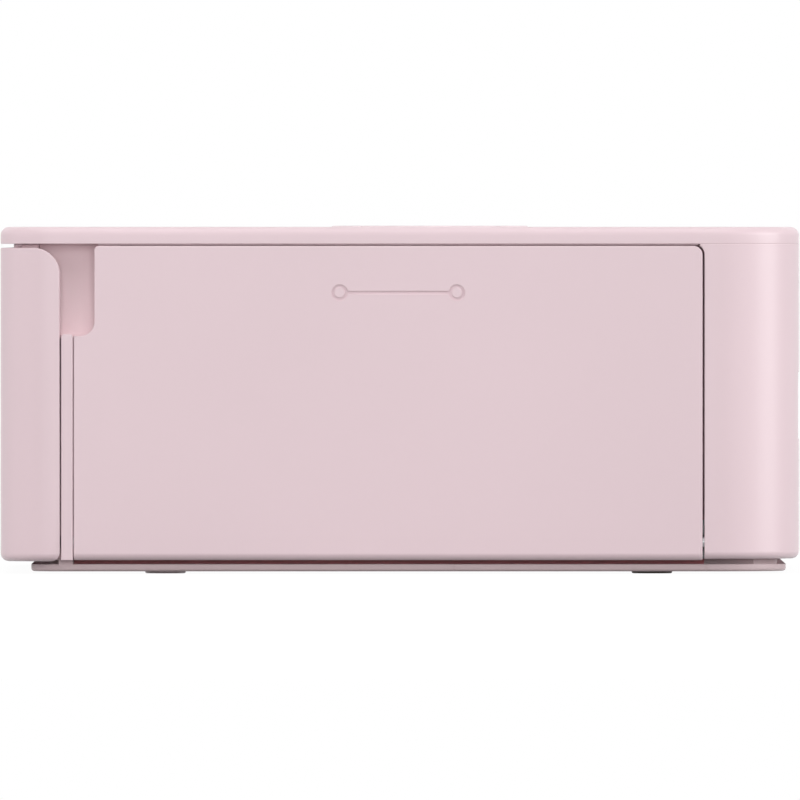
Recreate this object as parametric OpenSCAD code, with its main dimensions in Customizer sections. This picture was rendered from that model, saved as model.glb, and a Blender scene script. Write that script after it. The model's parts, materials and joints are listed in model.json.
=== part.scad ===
// Compact dye-sublimation photo printer.
// +X is the right side, where the ribbon cassette goes in, and -Y is the front.
// +Z is up. The origin is the middle of the footprint, on the table. Millimetres.
// The casing is two hinged covers on a base, a shell and a lid. A thermal head, a platen
// and a feed roller work between two side plates, and the electronics sit left of them.

/* [Case] */
// Width of the casing, left to right
case_w = 182.2; // [182:0.1:184]
// Depth of the casing, front to back
case_d = 133; // [133:0.1:135]
// Height of the lid's face above the table
lid_top = 57.4; // [57.2:0.1:58]
// Thickness of the lid at its rim
lid_t = 2.4; // [2:0.1:2.6]
// Thickness of the shell and cover walls
wall = 2; // [1.8:0.1:2.1]
// Corner radius of the plan at the front
front_r = 8; // [7:0.5:9]
// Corner radius of the plan at the back
rear_r = 15; // [13:0.5:16]
// Height of the gap between the table and the base
foot_h = 0.43; // [0.3:0.01:0.5]

/* [Covers] */
// Depth of the front cover's side wings
wing_d = 9.9; // [9.7:0.1:10]
// Height of the covers' hinge axes above the table
hinge_z = 4.9; // [4.8:0.05:5]
// Radius of the hinge pins
pin_r = 1.1; // [1:0.05:1.15]
// Radial play of the pins in the fixed bores
pin_play = 0.05; // [0.03:0.01:0.08]
// Height of the step in the ribbon door
step_z = 39.6; // [38:0.1:41]

/* [Controls] */
// Width of the screen window
screen_w = 76; // [70:1:76]
// Depth of the screen window
screen_d = 56; // [50:1:56]
// Outer radius of the ring of arrow keys
ring_r = 16.5; // [15:0.5:17]
// Radius of the OK key
ok_r = 7.2; // [6:0.1:7.4]
// Travel that the buttons need above the switches
key_travel = 0.5; // [0.3:0.1:0.5]

/* [Mechanism] */
// Radius of the rubber platen roller
platen_r = 6.6; // [6:0.1:6.6]
// Radius of the paper feed roller
feed_r = 5; // [4.5:0.1:5]
// Radius of the pickup roller's tyres
pickup_r = 8; // [7:0.1:8]
// Angle that the thermal head swings down by
head_drop = 4.2; // [3.5:0.1:4.2]
// Module of the gears
gear_m = 0.6; // [0.6]
// Teeth of the driven gears
gear_teeth = 30; // [30]
// Teeth of the motor pinions
pinion_teeth = 12; // [12]
// Radius of the cassette's supply tube
supply_r = 11; // [10.5:0.1:11]
// Radius of the cassette's take-up tube
takeup_r = 9.5; // [9:0.1:9.5]

/* [Hidden] */
$fn = 64;

eps = 0.01;          // overrun of a cutting tool
far = 300;           // larger than the whole printer

// Casing
side = case_w / 2;
front = -case_d / 2;
rear = case_d / 2;
lid_z = lid_top - lid_t;
shell_z = 2.5;                  // lower edge of the shell, on the base's raised floor
inset = 2.2;                    // step from the casing's face in to the frames and base
inner = side - inset;           // outer face of the frames behind the covers
base_z = 1.6;                   // top of the base's rim
base_front = front + 5.1;
groove_z = [22.4, 41.4];        // heights of the two grooves across the back
groove_h = 1.3;
groove_t = 0.25;

// Front cover
cover_z0 = 2.1;
cover_z1 = lid_z - 0.75;
wing_y = front + wing_d;        // rear edge of the wings
cover_pivot_y = front + 3.1;
ear_x = [76, 79];               // hinge ears of the front frame, each side
ear_gap = 0.2;
lug_w = 3;
knuckle_r = 2.1;

// Ribbon door
door_z0 = 2.3;
door_z1 = lid_z - 0.4;
door_y0 = front + 12.2;         // lower front edge
door_y1 = front + 15.65;        // upper front edge, above the step
door_y2 = rear - 16.1;          // rear edge
door_pivot_x = side - 2.8;
door_pivot_z = hinge_z + 0.4;
jamb_y0 = wing_y + 0.33;
jamb_y1 = door_y0 - 0.2;
shell_y = door_y2 + 0.4;        // front edge of the shell on the right
scoop_r = 32;                   // finger recess, a trough along Y
scoop_x = side + 27.8;
scoop_y0 = wing_y - 3.4;

// Bay frame behind the ribbon door
bay_x0 = side - 6.3;
bay_x1 = side - 4.3;
bay_z0 = 9;                     // clear of the door's swinging lower edge

// Mechanism, between the side plates
plate_t = 1;
plate_l = -36;                  // outer face of the left plate
plate_r = side - 9.6;           // outer face of the right plate
plate_y0 = -46;
plate_y1 = 61;
plate_z1 = 50;
plate_notch = [55, 5.7];        // over the shell's lower flange at the back
paper_x0 = -26;                 // edges of a 100 mm wide sheet
paper_x1 = 74;
platen = [15, 17];              // shaft centres are [y, z]
feed = [51, 19];
pinch = [51, 28.9];
pinch_r = 4.5;
pickup = [-36, 32];
shaft_r = 2.5;
small_shaft_r = 1.5;
bush_r = 4.5;
shaft_play = 0.05;

// Ribbon cassette
supply = [-10, 36];
takeup = [35.5, 36];
cass_x0 = -31;
cass_x1 = side - 6.6;
tube_t = 1;
journal_r = 3.9;

// Head
head_pivot = [56, 44];
head_z = 24.5;                  // heater line when the head is down
cam = [40.4, 13.2];
cam_r = 6.2;
cam_drop = 1.1;
cam_turn = 150;                 // turn of the cam over the head's whole swing

// Drives, left of the left plate
gear_r = gear_m * gear_teeth / 2;
pinion_r = gear_m * pinion_teeth / 2;
gear_gap = gear_r + pinion_r + 0.1;
feed_drive = [feed[0], feed[1] + gear_gap];
ribbon_drive = [takeup[0] - gear_gap, takeup[1]];
gear_x0 = plate_l - 4;
gear_x1 = plate_l - 1.4;
motor_x = plate_l - 6;          // mounting face of the motors
motor_shaft_r = 0.8;
hub_r = 3;
nose_r = 2.5;

// Controls
ring = [44, 5];                 // centre of the arrow keys, [x, y]
screen = [-42, -1];             // centre of the screen
key_slit = 0.25;                // gap round each key
flange_w = 0.8;
flange_t = 0.6;
switch_top = 53.3;
board_t = 1.2;
key_board_z = switch_top - 2.3;
stem_z = switch_top + 0.1 + key_travel;

// Feet and screws
foot_r = 3.4;
foot_sink = 0.5;
foot_places = [[-76, -39.1], [76, -39.1], [-76, 42], [76, 42]];
screw_r = 1.2;
screw_head_r = 2.2;
screw_head_z = [foot_h + 0.3, foot_h + 1.1];
screws = [[-86, -40], [-86, 38], [-50, 61.4], [50, 61.4], [-58, -56], [58, -56]];

// Electronics, left of the mechanism
board_x = [-84, -38];
board_y = [-57.4, 10];
board_z = 10.2;
card_x = [-79, -55];
usb_x = [-50, -38];
jack_x = -72;
jack_z = 15;
jack_r = 3.2;

// Small keys: centre x and y, radius, and half the length of a bar key's straight part
small_keys = [[70, -28, 4, 5], [74, 36, 4.5, 0], [20, -28, 4, 0], [20, 36, 4, 0], [44, -28, 4, 0]];

// Eject lever, in a slot of the bay frame
lever_y = -36;
lever_z = 40;
lever_travel = 4;

// A box between two corners
module slab(x, y, z) {
    translate([x[0], y[0], z[0]])
        cube([x[1] - x[0], y[1] - y[0], z[1] - z[0]]);
}

// A cylinder along X through c = [y, z], between two x
module bar_x(c, r, x) {
    translate([x[0], c[0], c[1]])
        rotate([0, 90, 0])
            cylinder(r = r, h = x[1] - x[0]);
}

// A cylinder along Y through c = [x, z], between two y
module bar_y(c, r, y) {
    translate([c[0], y[1], c[1]])
        rotate([90, 0, 0])
            cylinder(r = r, h = y[1] - y[0]);
}

// A cylinder along Z through c = [x, y], between two z
module post(c, r, z) {
    translate([c[0], c[1], z[0]])
        cylinder(r = r, h = z[1] - z[0]);
}

// The casing's plan with round corners, drawn in by d from its outside
module plan(d = 0, y0 = front, rf = front_r, rr = rear_r) {
    w = side - d;
    f = y0 + d;
    b = rear - d;
    r1 = rf - d;
    r2 = rr - d;
    translate([-w, f + r1]) square([2 * w, b - r2 - f - r1]);
    translate([-w + r1, f]) square([2 * (w - r1), r1 + eps]);
    translate([-w + r2, b - r2 - eps]) square([2 * (w - r2), r2 + eps]);
    for (s = [-1, 1]) {
        translate([s * (w - r1), f + r1]) circle(r1);
        translate([s * (w - r2), b - r2]) circle(r2);
    }
}

// A prism along X whose outline is drawn with its x as Y and its y as Z
module along_x(x) {
    translate([x[0], 0, 0])
        rotate([90, 0, 90])
            linear_extrude(x[1] - x[0])
                children();
}

// Spur gear along X through c, with straight-sided teeth and a round bore
module gear(c, teeth, x, turn, bore) {
    pitch = gear_m * teeth / 2;
    tip = pitch + 0.75 * gear_m;
    root = pitch - 1.1 * gear_m;
    step = 360 / teeth;
    along_x(x)
        translate(c)
            difference() {
                polygon([
                    for (i = [0 : teeth - 1], q = [[-0.32, 0], [-0.12, 1], [0.12, 1], [0.32, 0]])
                        let (a = turn + (i + q[0]) * step, r = q[1] == 1 ? tip : root)
                            [r * cos(a), r * sin(a)]
                ]);
                circle(bore);
            }
}

// ---- Casing ----

module top_lid() {
    glass_ledge = 2;
    glass_t = 0.8;
    boss_r = 2.2;
    color([0.89, 0.80, 0.82])
    difference() {
        union() {
            translate([0, 0, lid_z]) linear_extrude(lid_t) plan();
            for (x = [14, 80], y = [-40, 44])
                post([x, y], boss_r, [key_board_z + board_t, lid_z + eps]);
        }
        slab([screen[0] - screen_w / 2 + glass_ledge, screen[0] + screen_w / 2 - glass_ledge],
             [screen[1] - screen_d / 2 + glass_ledge, screen[1] + screen_d / 2 - glass_ledge],
             [lid_z - 1, lid_top + 1]);
        slab([screen[0] - screen_w / 2, screen[0] + screen_w / 2],
             [screen[1] - screen_d / 2, screen[1] + screen_d / 2],
             [lid_top - glass_t, lid_top + 1]);
        translate([0, 0, lid_z - 1])
            linear_extrude(lid_t + 2) {
                ring_hole();
                small_key_holes();
            }
    }
}

// The wall of the casing left of, behind and right of the mechanism
module shell_region(z) {
    translate([0, 0, z[0]])
        linear_extrude(z[1] - z[0])
            difference() {
                children();
                translate([-far, -far]) square([far, far + jamb_y0]);
                translate([0, -far]) square([far, far + shell_y]);
            }
}

module body_shell() {
    flange_w = 6;
    flange_h = 3;
    groove_x = side - rear_r;
    jamb_w = 1.5;
    boss = [side - 5.2, side - wall + eps];
    slot_x = [-30, 78];
    slot_z = [22.5, 33.5];
    vent_w = 1.4;
    color([0.90, 0.80, 0.83])
    difference() {
        union() {
            shell_region([shell_z, lid_z]) difference() { plan(); plan(wall); }
            shell_region([shell_z, shell_z + flange_h])
                difference() { plan(wall - eps); plan(wall + flange_w); }
            slab([bay_x1, side - wall + eps], [shell_y, shell_y + jamb_w], [shell_z, lid_z]);
            slab(boss, [shell_y, shell_y + 3.4], [shell_z, hinge_z + 3.4]);
        }
        bar_y([door_pivot_x, door_pivot_z], pin_r + pin_play, [shell_y - 1, shell_y + 2.8]);
        for (z = groove_z)
            slab([-groove_x, groove_x], [rear - groove_t, rear + 1],
                 [z - groove_h / 2, z + groove_h / 2]);
        slab(slot_x, [rear - wall - 1, rear + 1], slot_z);
        bar_y([jack_x, jack_z], jack_r + 0.6, [rear - wall - 1, rear + 1]);
        for (i = [0 : 7])
            slab([-side - 1, -side + wall + 1], [4 * i, 4 * i + vent_w], [14, 26]);
        for (p = screws) post(p, screw_r + 0.1, [shell_z - 1, shell_z + 2.6]);
    }
}

module base_tray() {
    stand_r = 2.4;
    color([0.68, 0.58, 0.60])
    difference() {
        union() {
            translate([0, 0, foot_h])
                linear_extrude(base_z - foot_h)
                    plan(inset, base_front - inset);
            translate([0, 0, base_z - eps])
                linear_extrude(shell_z - base_z + eps)
                    plan_raised();
            for (x = [board_x[0] + 4, board_x[1] - 4], y = [board_y[0] + 4, board_y[1] - 4])
                post([x, y], stand_r, [shell_z - eps, board_z]);
            slab([jack_x - 5, jack_x + 5], [rear - 14, rear - 8.1], [shell_z - eps, jack_z - 6]);
        }
        for (p = foot_places) post(p, foot_r + 0.1, [0, foot_h + foot_sink]);
        for (p = screws) {
            post(p, screw_head_r + 0.1, [0, screw_head_z[1]]);
            post(p, screw_r + 0.1, [0, shell_z + 1]);
        }
    }
}

// The raised floor, clear of both covers' lower edges as they swing
module plan_raised() {
    intersection() {
        plan(inset + 1.4);
        translate([-side, front + 8]) square([side + bay_x0, case_d]);
    }
}

module front_feet() {
    color([0.86, 0.78, 0.80])
    for (i = [0, 1]) post(foot_places[i], foot_r, [0, foot_h + foot_sink]);
}

module rear_feet() {
    color([0.27, 0.23, 0.21])
    for (i = [2, 3]) post(foot_places[i], foot_r, [0, foot_h + foot_sink]);
}

module case_screws() {
    tip = 2.5;
    color([0.75, 0.75, 0.76])
    for (p = screws) {
        difference() {
            post(p, screw_head_r, screw_head_z);
            post(p, 0.7, [0, screw_head_z[0] + 0.4]);
        }
        post(p, screw_r, [screw_head_z[1] - eps, shell_z + tip]);
    }
}

// ---- Front cover ----

module front_cover() {
    bottom_r = 1.4;
    rear_low_r = 1.5;
    rear_top_r = 4;
    color([0.87, 0.78, 0.80])
    difference() {
        union() {
            intersection() {
                translate([0, 0, cover_z0])
                    linear_extrude(cover_z1 - cover_z0)
                        difference() {
                            plan();
                            plan(wall - 0.1);
                        }
                along_x([-far, far]) cover_profile(bottom_r, rear_low_r, rear_top_r);
            }
            for (s = [-1, 1]) mirror([s < 0 ? 1 : 0, 0, 0]) {
                cover_lug([ear_x[0] - ear_gap - lug_w, ear_x[0] - ear_gap]);
                cover_lug([ear_x[1] + ear_gap, ear_x[1] + ear_gap + lug_w]);
            }
            slab([-3, 3], [front + wall - 0.1 - eps, front + wall + 0.1],
                 [cover_z1 - 4, cover_z1 - 2.8]);
        }
        for (s = [-1, 1]) mirror([s < 0 ? 1 : 0, 0, 0]) {
            relief = [ear_x[0] - ear_gap, ear_x[1] + ear_gap];
            bar_x([cover_pivot_y, hinge_z], knuckle_r + 0.2, relief);
            slab(relief, [cover_pivot_y - knuckle_r - 0.2, cover_pivot_y], [0, hinge_z]);
            bar_x([cover_pivot_y, hinge_z], pin_r, [ear_x[0] - ear_gap - lug_w - 1, ear_x[1] + 4.4]);
        }
    }
}

// The cover from the side: round at its lower front, lower rear and upper rear corners
module cover_profile(low, rear_low, rear_top) {
    d = wing_d;
    translate([front, cover_z0]) {
        h = cover_z1 - cover_z0;
        translate([0, low]) square([d - rear_top, h - low]);
        translate([low, 0]) square([d - low - rear_low, h - rear_top]);
        translate([low, rear_low]) square([d - low, h - rear_low - rear_top]);
        translate([low, low]) circle(low);
        translate([d - rear_low, rear_low]) circle(rear_low);
        translate([d - rear_top, h - rear_top]) circle(rear_top);
    }
}

module cover_lug(x) {
    bar_x([cover_pivot_y, hinge_z], knuckle_r, x);
    slab(x, [front + wall - 0.1 - eps, cover_pivot_y], [hinge_z - knuckle_r, hinge_z + knuckle_r]);
}

module front_cover_pins() {
    color([0.72, 0.72, 0.74])
    for (s = [-1, 1]) mirror([s < 0 ? 1 : 0, 0, 0])
        bar_x([cover_pivot_y, hinge_z], pin_r, [ear_x[0] - ear_gap - lug_w, ear_x[1] + ear_gap + lug_w]);
}

// ---- Ribbon door ----

module ribbon_door() {
    fillet = 2;
    rim_r = 1.3;
    low_r = 1.2;
    boss_l = 6;
    sign_z = 46.8;
    color([0.87, 0.78, 0.81])
    difference() {
        union() {
            intersection() {
                along_x([side - wall, side]) door_outline(fillet, rim_r);
                door_section(low_r);
            }
            for (y = [door_y0, door_y2 - boss_l]) {
                bar_y([door_pivot_x, door_pivot_z], knuckle_r, [y, y + boss_l]);
                slab([door_pivot_x, side - wall + eps], [y, y + boss_l],
                     [door_pivot_z - 1.2, door_pivot_z + knuckle_r]);
            }
            slab([side - 3.8, side - wall + eps], [-2, 2], [door_z1 - 3.6, door_z1 - 2]);
        }
        bar_y([door_pivot_x, door_pivot_z], pin_r, [door_y0 - 1, door_y0 + 4.5]);
        bar_y([door_pivot_x, door_pivot_z], pin_r, [door_y2 - 4.5, door_y2 + 1]);
        door_sign(sign_z);
    }
}

// The door seen from the right, with a step at its upper front and a round inner corner
module door_outline(fillet, rim_r) {
    difference() {
        union() {
            translate([door_y0, door_z0]) square([door_y2 - door_y0, step_z - door_z0]);
            translate([door_y1, step_z - eps])
                square([door_y2 - door_y1, door_z1 - step_z - rim_r + eps]);
            translate([door_y1, door_z1 - rim_r - eps])
                square([door_y2 - door_y1 - rim_r, rim_r + eps]);
            translate([door_y2 - rim_r, door_z1 - rim_r]) circle(rim_r);
            translate([door_y1 - fillet, step_z - eps]) square([fillet + eps, fillet + eps]);
        }
        translate([door_y1 - fillet, step_z + fillet]) circle(fillet);
    }
}

// The door's cross-section, rounded at its lower outer edge
module door_section(r) {
    translate([0, far / 2, 0])
        rotate([90, 0, 0])
            linear_extrude(far) {
                translate([side - wall - 1, door_z0]) square([wall + 1 - r, door_z1]);
                translate([side - wall - 1, door_z0 + r]) square([wall + 1, door_z1]);
                translate([side - r, door_z0 + r]) circle(r);
            }
}

// A sunk sign of a ribbon cassette: two rings joined by a line
module door_sign(z) {
    r = 1.35;
    line = 0.5;
    half = 9.75;
    depth = 0.3;
    along_x([side - depth, side + 1]) {
        for (s = [-1, 1])
            translate([s * half - 0.3, z])
                difference() {
                    circle(r);
                    circle(r - line);
                }
        translate([-half + 0.7, z - line / 2]) square([2 * half - 2, line]);
    }
}

module ribbon_door_pins() {
    reach = 1.5;
    color([0.72, 0.72, 0.74]) {
        bar_y([door_pivot_x, door_pivot_z], pin_r, [door_y0 - reach, door_y0 + 4.5]);
        bar_y([door_pivot_x, door_pivot_z], pin_r, [door_y2 - 4.5, door_y2 + 0.4 + reach]);
    }
}

// ---- Frames behind the covers ----

module front_frame() {
    skin = 2;
    shelf_z = [8, 9.5];
    rail_y = [front + 6.5, front + 8];
    paper_bay = [-33, 79];
    boss_r = 2.6;
    color([0.66, 0.55, 0.56])
    difference() {
        union() {
            intersection() {
                translate([0, 0, shelf_z[0]])
                    linear_extrude(lid_z - 0.1 - shelf_z[0])
                        difference() { plan(inset); plan(inset + skin); }
                slab([-far, far], [-far, wing_y - 0.4], [0, far]);
            }
            intersection() {
                translate([0, 0, shelf_z[0]])
                    linear_extrude(shelf_z[1] - shelf_z[0]) plan(inset);
                slab([-far, bay_x0 - 0.2], [-far, rail_y[1]], [0, far]);
            }
            slab([-84, 82], rail_y, [base_z, shelf_z[1]]);
            for (s = [-1, 1]) mirror([s < 0 ? 1 : 0, 0, 0]) {
                bar_x([cover_pivot_y, hinge_z], knuckle_r, ear_x);
                slab(ear_x, [cover_pivot_y, rail_y[0] + eps], [3.3, 6.9]);
            }
            for (i = [4, 5]) post(screws[i], boss_r, [shell_z, shelf_z[1] - 0.5]);
        }
        for (s = [-1, 1]) mirror([s < 0 ? 1 : 0, 0, 0])
            bar_x([cover_pivot_y, hinge_z], pin_r + pin_play, [ear_x[0] - 1, ear_x[1] + 1]);
        slab(paper_bay, [front, rail_y[0] - 0.5], [shelf_z[1], 36]);
        slab([-80, -54], [front, wing_y - 4], [12.2, 14.8]);
        slab([-50.5, -37.5], [front, wing_y - 4], [12.4, 18.2]);
        bar_y([scoop_x, lid_z], scoop_r + 2.1, [scoop_y0 - 0.1, front + far]);
        for (i = [4, 5]) post(screws[i], screw_r + 0.1, [0, shell_z + 2.6]);
    }
}

// Panel round the cassette opening, with the finger recess, the jamb and the door's front bore
module ribbon_bay_frame() {
    skin = 2;
    shelf_t = 1.5;
    foot_x = bay_x0 - 2.6;
    rear_end = shell_y + 4;
    foot_end = shell_y - 0.4;
    opening_y = [-22.5, 47];
    opening_z = [23, 48.5];
    wall_y = [front + 18.5, front + 20];
    color([0.70, 0.58, 0.60])
    difference() {
        union() {
            slab([bay_x0, bay_x1], [jamb_y0, rear_end], [bay_z0, lid_z - 0.1]);
            slab([foot_x, bay_x0 + eps], [-44, foot_end], [bay_z0, bay_z0 + shelf_t]);
            slab([foot_x, foot_x + 1.4], [-44, foot_end], [shell_z, bay_z0 + eps]);
            slab([bay_x0, side], [jamb_y0, jamb_y1], [door_z0, step_z + 0.3]);
            intersection() {
                union() {
                    slab([side - 9, inner], [scoop_y0, wall_y[1]], [step_z + 0.2, lid_z - 0.1]);
                    slab([side - 5, side], [jamb_y0, door_y1 - 2.2], [step_z + 0.2, lid_z - 0.1]);
                    slab([side - 5, side], [jamb_y0, door_y1 - 0.2], [step_z + 2.2, lid_z - 0.1]);
                }
                bar_y([scoop_x, lid_z], scoop_r + skin, [scoop_y0 - 1, wall_y[1] + 1]);
            }
            slab([bay_x1 - eps, inner], wall_y, [step_z + 0.2, lid_z - 0.1]);
        }
        bar_y([scoop_x, lid_z], scoop_r, [scoop_y0 - 1, wall_y[0]]);
        bar_y([door_pivot_x, door_pivot_z], pin_r + pin_play, [jamb_y0 - 1, jamb_y1 + 1]);
        slab([bay_x0 - 1, bay_x1 + 1], opening_y, opening_z);
        slab([bay_x0 - 1, bay_x1 + 1], [lever_y - 2.3, lever_y + 2.3 + lever_travel],
             [lever_z - 1.3, lever_z + 1.3]);
    }
}

// A frame that lines the slot through which the sheet slides out at the back
module rear_slot_frame() {
    outer_x = [-29.9, 77.9];
    outer_z = [22.6, 33.4];
    rim = 2;
    color([0.62, 0.53, 0.55])
    difference() {
        slab(outer_x, [rear - 5.5, rear - 0.4], outer_z);
        slab([outer_x[0] + rim, outer_x[1] - rim], [rear - 6, rear],
             [outer_z[0] + rim, outer_z[1] - rim]);
    }
}

// ---- Controls ----

module small_key_holes() {
    for (k = small_keys) translate([k[0], k[1]]) key_shape(k, key_slit);
}

module ring_hole() {
    translate(ring) circle(ring_r + key_slit);
}

// Outline of a small key, a circle or a bar with round ends, drawn out by d
module key_shape(k, d = 0) {
    circle(k[2] + d);
    for (s = [-1, 1]) translate([s * k[3], 0]) circle(k[2] + d);
    if (k[3] > 0) translate([-k[3], -k[2] - d]) square([2 * k[3], 2 * (k[2] + d)]);
}

// A key: the cap through the lid, a flange that keeps it in, and a stem over its switch
module key_body(top, switch_at) {
    z0 = lid_z - 0.05;
    color([0.90, 0.82, 0.84]) {
        translate([0, 0, z0 - eps]) linear_extrude(top - z0 + eps) children(0);
        translate([0, 0, z0 - flange_t]) linear_extrude(flange_t) children(1);
        post(switch_at, 1.5, [stem_z, z0 - flange_t + eps]);
    }
}

module small_key(i) {
    k = small_keys[i];
    key_body(lid_top - 0.05, [k[0], k[1]]) {
        translate([k[0], k[1]]) key_shape(k);
        translate([k[0], k[1]]) key_shape(k, flange_w);
    }
}

module arrow_key(turn) {
    r = (ring_r + ok_r) / 2 + 0.6;
    key_body(lid_top + 0.2, [ring[0] + r * cos(turn), ring[1] + r * sin(turn)]) {
        ring_sector(turn, ring_r);
        ring_sector(turn, ring_r + flange_w);
    }
}

// A quarter of the ring of keys, out to radius r
module ring_sector(turn, r) {
    slit = 0.25;
    reach = 2 * r;
    translate(ring) rotate(turn - 45)
        intersection() {
            difference() {
                circle(r);
                circle(ok_r + 1.3);
            }
            translate([slit, slit]) square(reach);
        }
}

module ok_key() {
    key_body(lid_top + 0.2, ring) {
        translate(ring) circle(ok_r);
        translate(ring) circle(ok_r + flange_w);
    }
}

module up_key() { arrow_key(90); }
module down_key() { arrow_key(-90); }
module left_key() { arrow_key(180); }
module right_key() { arrow_key(0); }
module print_button() { small_key(0); }
module power_button() { small_key(1); }
module home_button() { small_key(2); }
module back_button() { small_key(3); }
module edit_button() { small_key(4); }

module screen_window() {
    slack = 0.1;
    color([0.05, 0.05, 0.06])
    slab([screen[0] - screen_w / 2 + slack, screen[0] + screen_w / 2 - slack],
         [screen[1] - screen_d / 2 + slack, screen[1] + screen_d / 2 - slack],
         [lid_top - 0.8, lid_top]);
}

module display_module() {
    frame = [37, 29];
    face = [34, 24];
    color([0.5, 0.5, 0.52]) {
        slab([screen[0] - frame[0], screen[0] + frame[0]],
             [screen[1] - frame[1], screen[1] + frame[1]], [lid_z - 3.6, lid_z]);
        slab([screen[0] - face[0], screen[0] + face[0]],
             [screen[1] - face[1], screen[1] + face[1]], [lid_z - eps, lid_z + 1.2]);
    }
}

module key_board() {
    switch_w = 2;
    ring_places = [for (a = [0 : 90 : 270])
        let (r = (ring_r + ok_r) / 2 + 0.6) [ring[0] + r * cos(a), ring[1] + r * sin(a)]];
    key_places = [for (k = small_keys) [k[0], k[1]]];
    color([0.15, 0.4, 0.2]) {
        slab([10, plate_r - 0.6], [-43, 47], [key_board_z, key_board_z + board_t]);
        for (p = concat([ring], ring_places, key_places))
            slab([p[0] - switch_w, p[0] + switch_w], [p[1] - switch_w, p[1] + switch_w],
                 [key_board_z + board_t - eps, switch_top]);
    }
}

// ---- Electronics ----

module main_board() {
    hole = 1.4;
    color([0.12, 0.38, 0.22])
    difference() {
        slab(board_x, board_y, [board_z, board_z + 1.6]);
        for (x = [board_x[0] + 4, board_x[1] - 4], y = [board_y[0] + 4, board_y[1] - 4])
            post([x, y], hole, [board_z - 1, board_z + 3]);
    }
}

module board_chips() {
    z = board_z + 1.6;
    color([0.1, 0.1, 0.11]) {
        slab([-75, -59], [-22, -6], [z, z + 1.6]);
        slab([-56, -46], [-20, -8], [z, z + 1.2]);
        slab([-80, -64], [0, 5], [z, z + 5]);
        slab([-56, -42], [1, 6], [z, z + 5]);
        for (i = [0 : 2]) post([-80, -24 + 8 * i], 2.8, [z, z + 7]);
    }
}

module card_slot() {
    z = board_z + 1.6;
    color([0.7, 0.7, 0.72])
    difference() {
        slab(card_x, [-62.2, -33], [z, z + 3.2]);
        slab([card_x[0] + 0.8, card_x[1] - 0.8], [-63, -35], [z + 0.5, z + 2.7]);
    }
}

module usb_port() {
    z = board_z + 1.6;
    color([0.7, 0.7, 0.72]) {
        difference() {
            slab(usb_x, [-62.2, -48], [z, z + 7]);
            slab([usb_x[0] + 0.6, usb_x[1] - 0.6], [-63, -49], [z + 0.6, z + 6.4]);
        }
        slab([usb_x[0] + 1.2, usb_x[1] - 1.2], [-60, -49 + eps], [z + 4.3, z + 6]);
    }
}

module dc_jack() {
    body_y = [rear - 14, rear - wall - 0.4];
    color([0.12, 0.12, 0.13]) {
        difference() {
            slab([jack_x - 6, jack_x + 6], body_y, [jack_z - 6, jack_z + 5.5]);
            bar_y([jack_x, jack_z], jack_r, [rear - 12, rear]);
        }
        bar_y([jack_x, jack_z], 0.9, [rear - 12 - eps, rear - wall - 0.6]);
    }
}

// ---- Side plates and what lies between them ----

// Holes that both plates have, through x
module plate_holes(x) {
    for (c = [platen, feed, pickup]) bar_x(c, bush_r, x);
    bar_x(pinch, bush_r - 1.5, x);
    bar_x(head_pivot, small_shaft_r, x);
}

module left_plate() {
    foot_w = 5;
    color([0.74, 0.75, 0.77])
    difference() {
        union() {
            slab([plate_l, plate_l + plate_t], [plate_y0, plate_y1], [shell_z, plate_z1]);
            slab([plate_l, plate_l + foot_w], [plate_y0 + 6, plate_notch[0] - 0.2],
                 [shell_z, shell_z + plate_t]);
        }
        plate_holes([plate_l - 1, plate_l + 2]);
        bar_x(takeup, hub_r + shaft_play, [plate_l - 1, plate_l + 2]);
        bar_x(cam, small_shaft_r + shaft_play, [plate_l - 1, plate_l + 2]);
        slab([plate_l - 1, plate_l + 2], [plate_notch[0], far], [0, plate_notch[1]]);
        slab([plate_l - 1, plate_l + 2], [-22, 4], [8, 21]);
        slab([plate_l - 1, plate_l + 2], [-16, 8], [34, 45]);
    }
}

module right_plate() {
    foot_w = 8;
    x = [plate_r - plate_t, plate_r];
    color([0.74, 0.75, 0.77])
    difference() {
        union() {
            slab(x, [plate_y0, plate_y1 - 3], [shell_z, plate_z1]);
            slab([plate_r - foot_w, plate_r], [plate_y0 + 20, plate_notch[0] - 0.2],
                 [shell_z, shell_z + plate_t]);
        }
        plate_holes([x[0] - 1, x[1] + 1]);
        slab([x[0] - 1, x[1] + 1], [-22.5, 47], [23, 48.5]);
        slab([x[0] - 1, x[1] + 1], [-22, 4], [8, 19]);
        slab([x[0] - 1, x[1] + 1], [plate_notch[0], far], [0, plate_notch[1]]);
    }
}

module tie_bars() {
    x = [plate_l + plate_t, plate_r - plate_t];
    color([0.70, 0.71, 0.73]) {
        slab(x, [-34, -24], [46, 47.2]);
        slab(x, [-34, -32.8], [42, 46 + eps]);
        slab(x, [59.2, 60.4], [36, 46]);
        slab(x, [0, 12], [4, 5.2]);
    }
}

// Three sheets of the guide that the paper runs on: before the platen, after it, and to the slot
module paper_guides() {
    x = [plate_l + plate_t, plate_r - plate_t];
    left = paper_x0 - 3;
    z = [21.9, 23.2];
    rib_z = z[0] - 3.9;
    leg_y = [28, 36];
    last_y = [57, 60.9];
    color([0.16, 0.16, 0.17]) {
        slab(x, [-20, platen[0] - 7.4], z);
        for (i = [0 : 5])
            slab([paper_x0 + 20 * i, paper_x0 + 20 * i + 1.2], [-19, 4], [rib_z, z[0] + eps]);
        slab([left, x[1]], [platen[0] + 8, feed[0] - feed_r - 0.5], z);
        slab([left, left + 1.5], leg_y, [shell_z, z[0] + eps]);
        slab(x, [last_y[0], last_y[0] + 1.4], [plate_notch[1] - 0.1, z[1]]);
        slab(x, last_y, z);
    }
}

module platen_roller() {
    color([0.12, 0.12, 0.12])
    difference() {
        bar_x(platen, platen_r, [paper_x0 - 1, paper_x1 + 1]);
        bar_x(platen, shaft_r, [paper_x0 - 2, paper_x1 + 2]);
    }
}

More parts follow.
